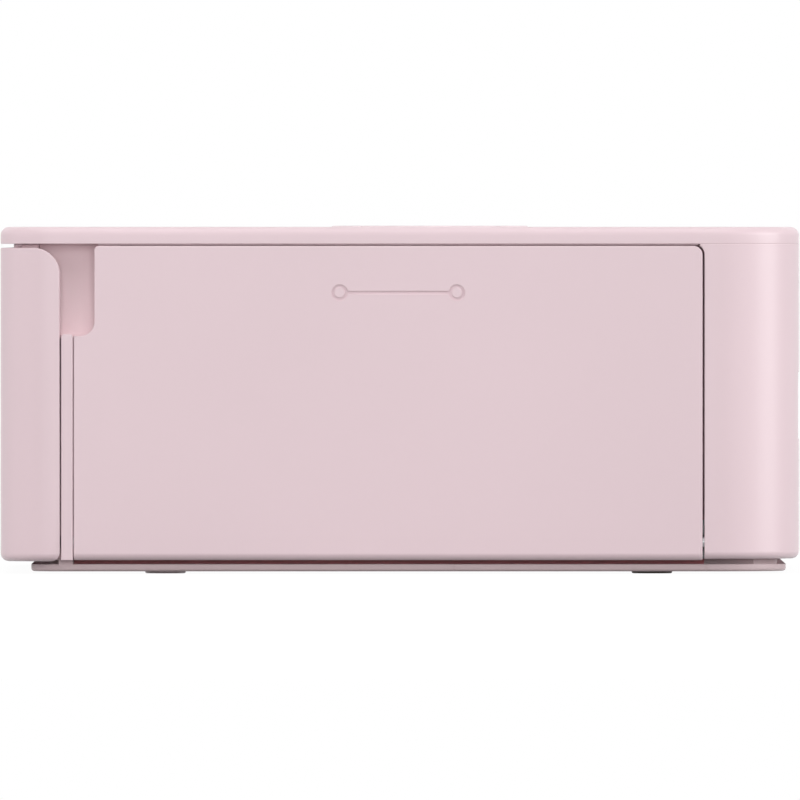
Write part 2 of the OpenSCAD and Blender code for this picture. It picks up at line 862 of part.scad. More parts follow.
module platen_shaft() {
    color([0.78, 0.79, 0.80])
    bar_x(platen, shaft_r, [plate_l - 2, plate_r + 1.5]);
}

module roller_bushes() {
    left = [plate_l - 1, plate_l + plate_t];
    right = [plate_r - plate_t, plate_r + 0.6];
    color([0.9, 0.88, 0.8]) {
        for (c = [platen, feed, pickup], x = [left, right]) bush(c, bush_r, shaft_r, x);
        for (x = [left, right]) bush(pinch, bush_r - 1.5, small_shaft_r, x);
    }
}

module bush(c, r, bore, x) {
    difference() {
        bar_x(c, r, x);
        bar_x(c, bore + shaft_play, [x[0] - 1, x[1] + 1]);
    }
}

module feed_roller() {
    color([0.66, 0.67, 0.69]) {
        bar_x(feed, feed_r, [paper_x0 - 1, paper_x1 + 1]);
        bar_x(feed, shaft_r, [gear_x0 - 0.5, plate_r + 1.5]);
    }
}

module feed_gear() {
    color([0.93, 0.92, 0.88])
    gear(feed, gear_teeth, [gear_x0, gear_x1], 90, shaft_r);
}

module pinch_roller() {
    color([0.25, 0.25, 0.26]) {
        bar_x(pinch, pinch_r, [paper_x0 - 1, paper_x1 + 1]);
        bar_x(pinch, small_shaft_r, [plate_l - 1, plate_r + 0.6]);
    }
}

module pickup_tyres() {
    tyre_w = 12;
    color([0.14, 0.14, 0.14])
    for (x = [0, 36])
        difference() {
            bar_x(pickup, pickup_r, [x, x + tyre_w]);
            bar_x(pickup, shaft_r, [x - 1, x + tyre_w + 1]);
        }
}

module pickup_shaft() {
    color([0.78, 0.79, 0.80])
    bar_x(pickup, shaft_r, [plate_l - 5, plate_r + 1.5]);
}

// ---- Drives ----

module drive_bracket() {
    hole_r = 3;
    post_r = 1.5;
    color([0.74, 0.75, 0.77])
    difference() {
        union() {
            slab([motor_x, motor_x + 1], [12, 62], [9, 46]);
            slab([motor_x, motor_x + 1], [28, 44], [5, 9 + eps]);
            for (p = [[15, 43], [59.5, 43], [22, 11], [59.5, 10.5]])
                bar_x(p, post_r, [motor_x + 1 - eps, plate_l]);
        }
        for (c = [feed_drive, ribbon_drive, cam])
            bar_x(c, hole_r, [motor_x - 1, motor_x + 2]);
    }
}

// A round motor on the drive bracket with a bore for its shaft
module motor(c, r, length) {
    difference() {
        union() {
            bar_x(c, r, [motor_x - length, motor_x]);
            bar_x(c, 2.8, [motor_x - eps, motor_x + 1.2]);
        }
        bar_x(c, motor_shaft_r + shaft_play, [motor_x - 6, motor_x + 2]);
    }
}

module drive_motors() {
    color([0.60, 0.61, 0.63]) {
        motor(feed_drive, 10, 20);
        motor(ribbon_drive, 8, 18);
    }
}

module pinion(c, turn) {
    gear(c, pinion_teeth, [gear_x0, gear_x1], turn, motor_shaft_r);
    bar_x(c, motor_shaft_r, [motor_x - 5, gear_x1]);
}

module feed_pinion() {
    color([0.85, 0.72, 0.35])
    pinion(feed_drive, -90 + 180 / pinion_teeth);
}

module ribbon_pinion() {
    color([0.85, 0.72, 0.35])
    pinion(ribbon_drive, 180 / pinion_teeth);
}

// Gear outside the plate, shaft through it and a nose into the cassette's take-up spool
module takeup_hub() {
    color([0.93, 0.92, 0.88]) {
        gear(takeup, gear_teeth, [gear_x0, gear_x1], 180, 0.5);
        bar_x(takeup, hub_r, [gear_x1 - eps, plate_l + 1.6]);
        bar_x(takeup, nose_r, [plate_l + 1.6 - eps, plate_l + 9.5]);
    }
}

// Two small gearmotors: one swings the head by its cam, one turns the pickup roller
module gearmotors() {
    color([0.30, 0.31, 0.33]) {
        gearmotor(cam, motor_x, small_shaft_r);
        gearmotor(pickup, plate_l - 1.8, shaft_r);
        for (p = [[-44.5, 36], [-36, 25.5]])
            bar_x(p, 1.2, [plate_l - 1.8 - eps, plate_l]);
    }
}

module gearmotor(c, x, shaft) {
    box_l = 12;
    can_l = 15;
    difference() {
        union() {
            slab([x - box_l, x], [c[0] - 10, c[0] + 3.4], [c[1] - 8, c[1] + 6]);
            bar_x([c[0] - 4, c[1] - 1], 6, [x - box_l - can_l, x - box_l + eps]);
        }
        bar_x(c, shaft + 0.1, [x - 5, x + 1]);
    }
}

// ---- Thermal head ----

// Swings what is drawn with the head down up to the rest position
module head_up() {
    translate([0, head_pivot[0], head_pivot[1]])
        rotate([-head_drop, 0, 0])
            translate([0, -head_pivot[0], -head_pivot[1]])
                children();
}

module head_pivot_rod() {
    color([0.78, 0.79, 0.80])
    bar_x(head_pivot, small_shaft_r, [plate_l - 1, plate_r + 1]);
}

// Torsion spring round the pivot rod: close turns, drawn as a grooved sleeve, and one leg
module head_spring() {
    turns = 9;
    pitch = 0.8;
    inner_r = 1.7;
    outer_r = 2.5;
    leg_r = 0.4;
    x0 = 20;
    outline = concat([[inner_r, 0]],
        [for (i = [0 : turns - 1], q = [[outer_r - 0.3, 0], [outer_r, 0.3], [outer_r, 0.7]])
            [q[0], (i + q[1]) * pitch]],
        [[outer_r - 0.3, turns * pitch], [inner_r, turns * pitch]]);
    color([0.80, 0.80, 0.82]) {
        translate([x0, head_pivot[0], head_pivot[1]])
            rotate([0, 90, 0])
                rotate_extrude() polygon(outline);
        post([x0 + leg_r, head_pivot[0] + outer_r - leg_r], leg_r, [head_pivot[1] - 6, head_pivot[1]]);
    }
}

module head_frame() {
    arm_z = [46.2, 47.2];
    arm_y = [8, 52];
    ear_y = [head_pivot[0] - 6, head_pivot[0] + 2.4];
    tab_y = [cam[0] - 1.2, cam[0] + 2];
    tab_x = [plate_l + 1.8, plate_l + 3];
    ear_pair = [[paper_x0 - 2, paper_x0 - 1], [paper_x1 + 1, paper_x1 + 2]];
    color([0.74, 0.75, 0.77])
    head_up()
    difference() {
        union() {
            slab([paper_x0 - 2, paper_x1 + 2], arm_y, arm_z);
            for (x = ear_pair) slab(x, ear_y, [head_pivot[1] - 2.6, arm_z[1]]);
            slab([tab_x[0], paper_x0 - 2 + eps], tab_y, arm_z);
            slab(tab_x, tab_y, [cam[1] + cam_r - cam_drop + 0.3, arm_z[1]]);
        }
        bar_x(head_pivot, small_shaft_r + shaft_play, [paper_x0 - 3, paper_x1 + 3]);
    }
}

// Aluminium block between the arm and the head, with cooling slots at its front
module heat_sink() {
    fins = 14;
    pitch = 7;
    slot_w = 3;
    color([0.72, 0.73, 0.75])
    head_up()
    difference() {
        slab([paper_x0, paper_x1], [9, 21], [26, 46.2]);
        for (i = [0 : fins - 1])
            slab([paper_x0 + 4 + pitch * i, paper_x0 + 4 + slot_w + pitch * i], [8.9, 14.5], [29, 44]);
    }
}

module thermal_head() {
    color([0.88, 0.87, 0.83])
    head_up() {
        slab([paper_x0, paper_x1], [10, 20], [head_z + 0.4, 26]);
        slab([paper_x0, paper_x1], [14.2, 15.8], [head_z, head_z + 0.4 + eps]);
    }
}

// The cam's radius falls evenly as it turns, and the head follows it down
module cam_outline() {
    steps = 48;
    polygon([
        for (i = [0 : steps - 1])
            let (a = 360 * i / steps,
                 fall = a <= cam_turn ? a / cam_turn : (360 - a) / (360 - cam_turn),
                 r = cam_r - cam_drop * fall)
                [r * cos(90 - a), r * sin(90 - a)]
    ]);
}

module head_cam() {
    color([0.93, 0.92, 0.88]) {
        along_x([plate_l + 1.6, plate_l + 3.4]) translate(cam) cam_outline();
        bar_x(cam, small_shaft_r, [motor_x - 4, plate_l + 1.6 + eps]);
    }
}

// ---- Ribbon cassette ----

module cassette_case() {
    cap_t = 1.5;
    grip_t = 2;
    tubes = [[supply, supply_r, [-2.5, 3]], [takeup, takeup_r, [25, 29.5]]];
    left = [cass_x0, cass_x0 + cap_t];
    bridge_z = [25.2, 26.8];
    color([0.86, 0.86, 0.85])
    difference() {
        union() {
            for (t = tubes) bar_x(t[0], t[1], [cass_x0, cass_x1]);
            slab(left, [supply[0] + 3, takeup[0] - 2], bridge_z);
            slab(left, [supply[0] + 3, supply[0] + 9], [bridge_z[0], bridge_z[0] + 6]);
            slab(left, [takeup[0] - 7, takeup[0] - 2], [bridge_z[0], bridge_z[0] + 6]);
            slab([cass_x1 - grip_t, cass_x1], [supply[0] + 2, takeup[0] - 2], [28, 43]);
        }
        for (t = tubes) {
            bar_x(t[0], t[1] - tube_t, [cass_x0 + cap_t, cass_x1 - grip_t]);
            bar_x(t[0], journal_r + shaft_play, [cass_x0 - 1, cass_x1 + 1]);
            slab([paper_x0 - 1, paper_x1 + 1], t[2], [24, 35.5]);
        }
    }
}

module spool(c, roll, bore) {
    difference() {
        union() {
            bar_x(c, journal_r, [cass_x0 + 0.2, cass_x1 - 0.2]);
            bar_x(c, roll, [paper_x0 + 1, paper_x1 - 1]);
        }
        bar_x(c, bore, [cass_x0 - 1, cass_x0 + 8]);
    }
}

module supply_spool() {
    color([0.35, 0.20, 0.32]) spool(supply, 8, nose_r + 0.2);
}

module takeup_spool() {
    color([0.30, 0.30, 0.34]) spool(takeup, 6, nose_r + 0.2);
}

// The film between the spools: down to the head, across it and up again
module ribbon_film() {
    low = [24.05, 24.25];
    color([0.20, 0.16, 0.22])
    along_x([paper_x0 + 2, paper_x1 - 2])
        polygon([
            [-2.2, 38.7], [2.9, low[0]], [24.7, low[0]], [29.6, 38.1],
            [29.39, 38.1], [24.56, low[1]], [3.04, low[1]], [-1.99, 38.7]
        ]);
}

module eject_lever() {
    stem = 2;
    color([0.20, 0.20, 0.22]) {
        slab([bay_x0 - 2.4, bay_x1 + 2], [lever_y - stem, lever_y + stem], [lever_z - 1, lever_z + 1]);
        slab([bay_x1 + 0.2, bay_x1 + 2], [lever_y - 3, lever_y + 3], [lever_z - 2.2, lever_z + 2.2]);
        slab([bay_x0 - 1.6, bay_x0 - 0.2], [lever_y - 4, lever_y + 10], [lever_z - 3, lever_z + 3]);
    }
}

top_lid();
body_shell();
base_tray();
front_feet();
rear_feet();
case_screws();
front_cover();
front_cover_pins();
ribbon_door();
ribbon_door_pins();
front_frame();
ribbon_bay_frame();
rear_slot_frame();
screen_window();
display_module();
key_board();
ok_key();
up_key();
down_key();
left_key();
right_key();
print_button();
power_button();
home_button();
back_button();
edit_button();
main_board();
board_chips();
card_slot();
usb_port();
dc_jack();
left_plate();
right_plate();
tie_bars();
paper_guides();
platen_roller();
platen_shaft();
roller_bushes();
feed_roller();
feed_gear();
pinch_roller();
pickup_tyres();
pickup_shaft();
drive_bracket();
drive_motors();
feed_pinion();
ribbon_pinion();
takeup_hub();
gearmotors();
head_pivot_rod();
head_spring();
head_frame();
heat_sink();
thermal_head();
head_cam();
cassette_case();
supply_spool();
takeup_spool();
ribbon_film();
eject_lever();
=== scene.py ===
# %% [markdown]
# # A compact photo printer in pale pink plastic
#
# The printer stands with its right side to the camera. That side is nearly all
# ribbon door. A front cover wraps round the left edge of the view, a narrow jamb
# and a finger recess sit beside it, and a round corner of the shell closes the right.
#
# The CAD frame holds every piece at its real size, so this script loads it first and
# then dresses it: new shells with rounded edges outside, finishes for all the rest.

# %% Load the frame
import json
import math

import bpy
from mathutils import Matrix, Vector


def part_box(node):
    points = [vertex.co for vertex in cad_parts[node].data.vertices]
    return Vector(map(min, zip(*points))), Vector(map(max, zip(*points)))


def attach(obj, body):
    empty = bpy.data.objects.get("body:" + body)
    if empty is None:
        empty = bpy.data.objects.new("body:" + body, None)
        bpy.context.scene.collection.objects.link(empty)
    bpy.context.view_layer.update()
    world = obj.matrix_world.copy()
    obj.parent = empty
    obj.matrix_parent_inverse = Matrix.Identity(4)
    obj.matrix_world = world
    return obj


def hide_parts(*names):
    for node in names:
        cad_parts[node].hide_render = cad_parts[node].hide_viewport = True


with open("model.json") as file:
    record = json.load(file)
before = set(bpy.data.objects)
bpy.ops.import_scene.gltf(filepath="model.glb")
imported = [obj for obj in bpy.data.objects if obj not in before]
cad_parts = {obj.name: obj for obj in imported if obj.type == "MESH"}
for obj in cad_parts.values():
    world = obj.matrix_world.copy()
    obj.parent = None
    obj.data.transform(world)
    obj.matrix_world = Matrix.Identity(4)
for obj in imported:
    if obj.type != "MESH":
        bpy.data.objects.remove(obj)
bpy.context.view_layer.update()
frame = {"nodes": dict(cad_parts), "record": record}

# %% [markdown]
# ## Sizes
#
# Blender works in metres and the printer was measured in millimetres, so one factor
# turns every size over. The casing's planes come from the frame's own boxes: the
# pieces made here then meet the pieces that stay, whatever their size. Only the lid
# is drawn a third of a millimetre thicker, with its keys and its window, so that its
# rim can be as round as on the real moulding.

# %% Planes of the casing
MM = 0.001
lid_low, lid_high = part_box("top_lid")
shell_low, shell_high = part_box("body_shell")
cover_low, cover_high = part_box("front_cover")
door_low, door_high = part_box("ribbon_door")
base_low, base_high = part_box("base_tray")
SIDE = lid_high.x
FRONT = lid_low.y
REAR = lid_high.y
LID_Z = shell_high.z
RISE = 0.35 * MM
LID_TOP = lid_high.z + RISE
WALL = 2.0 * MM
FRONT_R = 8.0 * MM
REAR_R = 15.0 * MM
print("casing, mm:", [round(v / MM, 1) for v in (2 * SIDE, REAR - FRONT, LID_TOP)])

# %% [markdown]
# ## The camera
#
# The view is square on to the right side, from six metres away and just below the level
# of the lid, so the lid's face is seen edge on and the base a little from above.
# A long lens gives that flat, catalogue-like picture. The lens follows from the width
# that has to fill the frame at the near face.

# %% Camera
VIEW_DISTANCE = 6.0
VIEW_WIDTH = 133.05 * MM
EYE_Z = 56.5 * MM
AIM_Z = 28.95 * MM
SENSOR = 36.0
CLIP_START = 0.01
camera_data = bpy.data.cameras.new("camera")
camera = bpy.data.objects.new("camera", camera_data)
bpy.context.scene.collection.objects.link(camera)
camera.location = (SIDE + VIEW_DISTANCE, 0.0, EYE_Z)
aim = Vector((SIDE, 0.0, AIM_Z)) - camera.location
camera.rotation_euler = aim.to_track_quat("-Z", "Y").to_euler()
camera_data.sensor_width = SENSOR
camera_data.lens = SENSOR * aim.length / VIEW_WIDTH
camera_data.clip_start = CLIP_START
bpy.context.scene.camera = camera
bpy.context.scene.view_settings.view_transform = "Standard"
print("lens, mm:", round(camera_data.lens))

# %% [markdown]
# ## Floor, background and light
#
# The printer stands on a white floor in a white room. Two panels, at the camera and
# above it, light the door's face and reach into the finger recess and the gaps. One
# overhead draws the bright line along every upper edge, and low ones at both ends
# brighten the round corners. Panels as wide as windows give the slow shading of satin
# plastic, where small lamps would leave hard spots. Three of them give light but no
# glare, because their mirror image would bleach the lid in low views.
#
# The background is white because the world is white to the camera alone. The light
# that the world really gives is lower, so pale plastic doesn't burn out.

# %% Shader maths
def operator(name, swapped=False):
    """A method of Value that adds one Math node, with the two numbers swapped if asked."""
    def add_node(self, other):
        pair = (other, self) if swapped else (self, other)
        return self.graph.node("Math", {"operation": name}, *pair)
    return add_node


class Value:
    """A socket that varies over a surface. Maths on it adds Math nodes."""

    def __init__(self, graph, socket):
        self.graph = graph
        self.socket = socket

    __add__ = operator("ADD")
    __radd__ = operator("ADD", swapped=True)
    __sub__ = operator("SUBTRACT")
    __rsub__ = operator("SUBTRACT", swapped=True)
    __mul__ = operator("MULTIPLY")
    __rmul__ = operator("MULTIPLY", swapped=True)
    largest = operator("MAXIMUM")
    below = operator("LESS_THAN")

    def off(self, middle):
        """How far the value is from a middle, to either side."""
        return self.graph.node("Math", {"operation": "ABSOLUTE"}, self - middle)


def linear(red, green, blue):
    """A colour given as 0 to 255 on the screen, as the linear RGBA that shaders use."""
    parts = [c / 255 for c in (red, green, blue)]
    return tuple(p / 12.92 if p < 0.04045 else ((p + 0.055) / 1.055) ** 2.4 for p in parts) + (1.0,)


CASE_PINK = linear(226, 203, 209)
print("pink as a shader sees it:", [round(c, 3) for c in CASE_PINK])

# %% Node graphs
class Graph:
    """The nodes of one material or world, added one call at a time."""

    def __init__(self, tree):
        self.tree = tree
        tree.nodes.clear()

    def node(self, kind, settings=None, *values, output=0, **named):
        """Adds a node: first its settings, then the values or links of its sockets."""
        new = self.tree.nodes.new("ShaderNode" + kind)
        for name, setting in (settings or {}).items():
            setattr(new, name, setting)
        for index, value in enumerate(values):
            self.feed(new.inputs[index], value)
        for name, value in named.items():
            self.feed(new.inputs[name.replace("_", " ")], value)
        return Value(self, new.outputs[output])

    def feed(self, socket, value):
        if isinstance(value, Value):
            self.tree.links.new(value.socket, socket)
        elif value is not None:
            socket.default_value = value

    def noise(self, place, scale, detail):
        return self.node("TexNoise", None, Vector=place, Scale=scale, Detail=detail)

    def bump(self, height, strength, distance):
        return self.node("Bump", None, Strength=strength, Distance=distance, Height=height)

    def mix(self, factor, first, second):
        """Goes from a first colour to a second one by a factor."""
        mixed = self.node("Mix", {"data_type": "RGBA"}, factor, output=2)
        self.feed(mixed.socket.node.inputs[6], first)
        self.feed(mixed.socket.node.inputs[7], second)
        return mixed

    def ramp(self, factor, stops):
        """A colour ramp: stops are (place, colour) pairs."""
        new = self.tree.nodes.new("ShaderNodeValToRGB")
        while len(new.color_ramp.elements) < len(stops):
            new.color_ramp.elements.new(0.5)
        for element, (place, colour) in zip(new.color_ramp.elements, stops):
            element.position = place
            element.color = colour
        self.feed(new.inputs["Fac"], factor)
        return Value(self, new.outputs["Color"])

    def backdrop_rays(self):
        """1 for the rays that should meet a plain white backdrop, 0 for those that light the scene."""
        path = self.tree.nodes.new("ShaderNodeLightPath")
        kinds = ("Is Camera Ray", "Is Glossy Ray", "Is Transmission Ray")
        camera_ray, glossy, through = (Value(self, path.outputs[kind]) for kind in kinds)
        return camera_ray.largest(glossy).largest(through)

    def surface(self, shader, kind="Material"):
        """Makes a shader the finish of the whole tree."""
        self.feed(self.tree.nodes.new("ShaderNodeOutput" + kind).inputs["Surface"], shader)

    def principled(self, **sockets):
        """Finishes the tree with a Principled shader."""
        self.surface(self.node("BsdfPrincipled", None, **sockets))


print("one call each: node, noise, bump, mix, ramp, principled")

# %% World: white to the camera, softer to the plastic
AMBIENT = 0.2
world = bpy.data.worlds.new("room")
bpy.context.scene.world = world
world.use_nodes = True
room = Graph(world.node_tree)
seen = room.backdrop_rays()
white = room.node("Background", None, (1, 1, 1, 1), 1.0)
soft = room.node("Background", None, (1.0, 0.985, 0.98, 1), AMBIENT)
room.surface(room.node("MixShader", None, seen, soft, white), "World")
print("ambient light:", AMBIENT, "of the white that the camera sees")

# %% Floor that is nearly white to the camera and keeps a faint shadow
FLOOR_HALF = 1.5
FLOOR_GREY = 0.3
SHADOW_KEPT = 0.2
FLOOR_GLOW = 1.2
bpy.ops.mesh.primitive_plane_add(size=2 * FLOOR_HALF, location=(0, 0, 0))
floor = bpy.context.object
floor.name = "floor"
floor_finish = bpy.data.materials.new("white floor")
floor_finish.use_nodes = True
ground = Graph(floor_finish.node_tree)
paper = ground.node("BsdfDiffuse", None, (FLOOR_GREY, FLOOR_GREY, FLOOR_GREY, 1))
glow = ground.node("Emission", None, (1, 1, 1, 1), FLOOR_GLOW)
seen = ground.backdrop_rays() * (1 - SHADOW_KEPT)
ground.surface(ground.node("MixShader", None, seen, paper, glow))
floor.data.materials.append(floor_finish)
print("floor:", 2 * FLOOR_HALF, "m square")

# %% Soft lamps
def lamp(name, azimuth, elevation, distance, size, power, mirrored=True):
    """A square area lamp aimed at the middle of the printer.

    The azimuth is measured from the camera's side (+X) towards the back (+Y). A lamp
    that isn't mirrored gives light but no glare on the lid.
    """
    data = bpy.data.lights.new(name, "AREA")
    data.size = size
    data.energy = power
    light = bpy.data.objects.new(name, data)
    bpy.context.scene.collection.objects.link(light)
    turn = math.radians(azimuth)
    rise = math.radians(elevation)
    middle = Vector((0, 0, LID_TOP / 2))
    toward = Vector((math.cos(turn) * math.cos(rise), math.sin(turn) * math.cos(rise), math.sin(rise)))
    light.location = middle + toward * distance
    light.rotation_euler = toward.to_track_quat("Z", "Y").to_euler()
    light.visible_glossy = mirrored
    return light


lamps = [
    lamp("panel at the camera", 0, 8, 1.6, 0.8, 5.8),
    lamp("panel above the camera", 0, 58, 1.4, 0.9, 5.3),
    lamp("panel at the front corner", -45, 12, 1.4, 0.6, 3.5, mirrored=False),
    lamp("panel at the rear corner", 45, 12, 1.4, 1.0, 4.2),
    lamp("panel in front", -80, 12, 1.3, 0.5, 4.7, mirrored=False),
    lamp("window behind", 78, 12, 1.2, 0.6, 7.0),
    lamp("panel above", 0, 95, 1.3, 0.9, 2.2),
    lamp("far side", 185, 30, 1.5, 1.0, 9.0, mirrored=False),
]
print("lamps:", len(lamps), "watts:", round(sum(light.data.energy for light in lamps), 1))

# %% [markdown]
# ## Helpers for modelling by hand
#
# Each shell starts as a plain block at its real place. Edges are then picked by where
# they lie, rounded, and the openings are cut with boolean modifiers. A last fine bevel
# breaks every sharp edge, because moulded plastic has none, and those thin rounds are
# what catches the light along a gap.

# %% Helpers: blocks and rods
def in_metres(*corner):
    """A corner given in millimetres, in metres."""
    return Vector(corner) * MM


def settle(name):
    """Names the new primitive and moves its place, turn and size into its mesh."""
    piece = bpy.context.object
    piece.name = name
    bpy.ops.object.transform_apply()
    return piece


def block(name, low, high):
    """A cube primitive stretched between two corners."""
    middle = (Vector(low) + Vector(high)) / 2
    bpy.ops.mesh.primitive_cube_add(size=1, location=middle, scale=Vector(high) - Vector(low))
    return settle(name)


def slab(name, middle, half_x, half_y, low_z, high_z):
    """A block round a middle."""
    return block(name, (middle[0] - half_x, middle[1] - half_y, low_z),
                 (middle[0] + half_x, middle[1] + half_y, high_z))


def rod(name, start, end, radius, sides=48):
    """A cylinder primitive from one point to another."""
    along = Vector(end) - Vector(start)
    bpy.ops.mesh.primitive_cylinder_add(vertices=sides, radius=radius, depth=along.length,
                                        location=(Vector(start) + Vector(end)) / 2,
                                        rotation=along.to_track_quat("Z", "Y").to_euler())
    return settle(name)


def column(name, middle, low_z, high_z, radius, sides=48):
    """An upright rod."""
    return rod(name, (middle[0], middle[1], low_z), (middle[0], middle[1], high_z), radius, sides)


print("primitives: block, slab, rod, column")

# %% Helpers: picking what to work on
def activate(piece):
    """Makes a piece the active one and the only one selected."""
    bpy.ops.object.select_all(action="DESELECT")
    bpy.context.view_layer.objects.active = piece
    piece.select_set(True)


def leave():
    """Goes back to object mode."""
    bpy.ops.object.mode_set(mode="OBJECT")


def pick(piece, kind, test):
    """Enters edit mode with the vertices, edges or faces selected that pass a test.

    A vertex is tested by its place, an edge by its two ends, a face by centre and normal.
    """
    activate(piece)
    bpy.ops.object.mode_set(mode="EDIT")
    bpy.ops.mesh.select_mode(type=kind)
    bpy.ops.mesh.select_all(action="DESELECT")
    leave()
    mesh = piece.data
    items, facts = {
        "VERT": (mesh.vertices, lambda vertex: [vertex.co]),
        "EDGE": (mesh.edges, lambda edge: [mesh.vertices[i].co for i in edge.vertices]),
        "FACE": (mesh.polygons, lambda face: [face.center, face.normal]),
    }[kind]
    for item in items:
        item.select = test(*facts(item))
    chosen = sum(item.select for item in items)
    bpy.ops.object.mode_set(mode="EDIT")
    return chosen


def near(a, b, slack=0.02 * MM):
    return abs(a - b) < slack


def upright(a, b):
    """A test for an edge that stands upright."""
    return near(a.x, b.x) and near(a.y, b.y)


def along_x(a, b):
    """A test for an edge that runs along X."""
    return near(a.y, b.y) and near(a.z, b.z)


def upright_at(y):
    """A test for the upright edges in a plane across the printer."""
    return lambda a, b: upright(a, b) and near(a.y, y)


def lies(x=None, y=None, z=None):
    """A test for the edges that lie in all the given planes, such as x=SIDE."""
    planes = [(axis, place) for axis, place in enumerate((x, y, z)) if place is not None]
    return lambda *ends: all(near(end[axis], place) for end in ends for axis, place in planes)


print("tests for edges: upright, along_x, upright_at, lies")

# %% Helpers: rounds, splits and cuts
SHARP_ABOVE = math.radians(35)
SMOOTH_BELOW = math.radians(50)


def round_edges(piece, test, radius, segments):
    """Rounds the edges that pass a test and says how many they are."""
    count = pick(piece, "EDGE", test)
    bpy.ops.mesh.bevel(offset=radius, segments=segments, profile=0.5, affect="EDGES", clamp_overlap=False)
    leave()
    return count


def break_edges(piece, width, segments=3, where=lambda a, b: True):
    """Rounds every sharp edge by a hair, or only those that pass a test on their two ends."""
    pick(piece, "EDGE", lambda a, b: False)
    bpy.ops.mesh.edges_select_sharp(sharpness=SHARP_ABOVE)
    leave()
    sharp = iter([edge.select for edge in piece.data.edges])
    round_edges(piece, lambda a, b: next(sharp) and where(a, b), width, segments)


def split(piece, test, place, normal):
    """Splits the faces that pass a test along a plane."""
    pick(piece, "FACE", test)
    bpy.ops.mesh.bisect(plane_co=place, plane_no=normal)
    leave()


def apply_all(piece):
    """Applies the modifiers of a piece, in order."""
    activate(piece)
    for modifier in list(piece.modifiers):
        bpy.ops.object.modifier_apply(modifier=modifier.name)


def combine(piece, tool, operation):
    """Cuts a tool out of a piece, or joins it on, and deletes the tool."""
    modifier = piece.modifiers.new(operation, "BOOLEAN")
    modifier.operation = operation
    modifier.solver = "EXACT"
    modifier.object = tool
    apply_all(piece)
    bpy.data.objects.remove(tool)


def cut(piece, *tools):
    for tool in tools:
        combine(piece, tool, "DIFFERENCE")


def join_on(piece, *tools):
    for tool in tools:
        combine(piece, tool, "UNION")


def size_text(piece):
    """Name, triangle count and size of a piece, for the notes that the cells print."""
    corners = [Vector(c) / MM for c in piece.bound_box]
    spread = [max(c[i] for c in corners) - min(c[i] for c in corners) for i in range(3)]
    triangles = sum(len(face.vertices) - 2 for face in piece.data.polygons)
    return f"{piece.name}: {triangles} triangles, {' x '.join(f'{s:.1f}' for s in spread)} mm"


def smooth(piece):
    """Smooth shading in which the large flat faces set the normals of the small rounds."""
    activate(piece)
    bpy.ops.object.shade_smooth_by_angle(angle=SMOOTH_BELOW)
    weigh = piece.modifiers.new("flat faces lead", "WEIGHTED_NORMAL")
    weigh.keep_sharp = True
    apply_all(piece)
    print(size_text(piece))


print("sharp edges, degrees:", round(math.degrees(SHARP_ABOVE)))

# %% [markdown]
# ## The lid
#
# The lid is one flat moulding, not 3 mm thick, with the plan of the whole casing: tight
# corners in front, wide ones behind. Its upper rim is rounded by more than a
# millimetre, which draws the bright line along the top of the side view. It could be a
# curve that is extruded, but a block with bevelled edges needs no more steps and keeps
# each radius in one place. A thin lip hangs from its underside, just behind the face of
# the ribbon door. It keeps light and dust out of the gap, so that gap looks shallow. Two
# short ribs close the space above the front frame in the same way.

# %% The lid's plate
LID_ROUND = 1.4 * MM
LID_LAP = 0.08 * MM
lid = block("lid", (-SIDE, FRONT, LID_Z - LID_LAP), (SIDE, REAR, LID_TOP))
round_edges(lid, upright_at(FRONT), FRONT_R, 14)
round_edges(lid, upright_at(REAR), REAR_R, 24)
rim = round_edges(lid, lies(z=LID_TOP), LID_ROUND, 6)
print("rim edges rounded:", rim)

# %% The lip along the door's upper edge, and the ribs above the front frame
LIP_IN = 0.7 * MM
LIP_W = 1.1 * MM
LIP_DROP = 0.32 * MM
LIP_FRONT = door_low.y + 4.1 * MM
LIP_REAR = door_high.y - 0.8 * MM
RIB_IN = 4.7 * MM
RIB_W = 1.0 * MM
RIB_DROP = 0.6 * MM
RIB_FRONT = FRONT + 2.6 * MM
RIB_REAR = door_low.y + 5.0 * MM
lip_x = SIDE - LIP_IN
join_on(lid, block("lip", (lip_x - LIP_W, LIP_FRONT, LID_Z - LIP_DROP), (lip_x, LIP_REAR, LID_Z + LIP_DROP)))
for rib_x in (RIB_IN - SIDE, SIDE - RIB_IN):
    join_on(lid, block("rib", (rib_x - RIB_W / 2, RIB_FRONT, LID_Z - RIB_DROP),
                       (rib_x + RIB_W / 2, RIB_REAR, LID_Z + LIP_DROP)))
print("lip below the lid, mm:", LIP_DROP / MM)

# %% [markdown]
# ### Openings in the lid
#
# The window's opening has a step: the glass lies in the wide upper part and the
# display shows through the narrower part below. The ring of arrow keys needs one round
# hole, and every small key its own, a slit wider than the key. The cutters are blocks
# and rods a little taller than the lid, because faces that lie in one plane confuse a
# boolean cut.

# %% The window's opening
LID_EDGE = 0.1 * MM
OVER = 1.0 * MM
GLASS_LEDGE = 2.0 * MM
GLASS_ROUND = 2.0 * MM
GLASS_GAP = 0.1 * MM
window_low, window_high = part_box("screen_window")
window_high.z += RISE


def opening(name, low, high, corner):
    """A cutter with upright edges rounded."""
    tool = block(name, low, high)
    round_edges(tool, upright, corner, 6)
    return tool


grow = Vector((GLASS_GAP, GLASS_GAP, 0))
narrow = Vector((GLASS_LEDGE, GLASS_LEDGE, 0))
above_lid = Vector((0, 0, OVER))
cut(lid,
    opening("glass seat", window_low - grow, window_high + grow + above_lid, GLASS_ROUND),
    opening("view", window_low - grow + narrow - 2 * above_lid, window_high + grow - narrow + above_lid,
            GLASS_ROUND / 2))
print("window, mm:", [round(s / MM, 1) for s in window_high - window_low])

# %% The key holes
KEY_FLANGE = 0.8 * MM
KEY_SLIT = 0.25 * MM
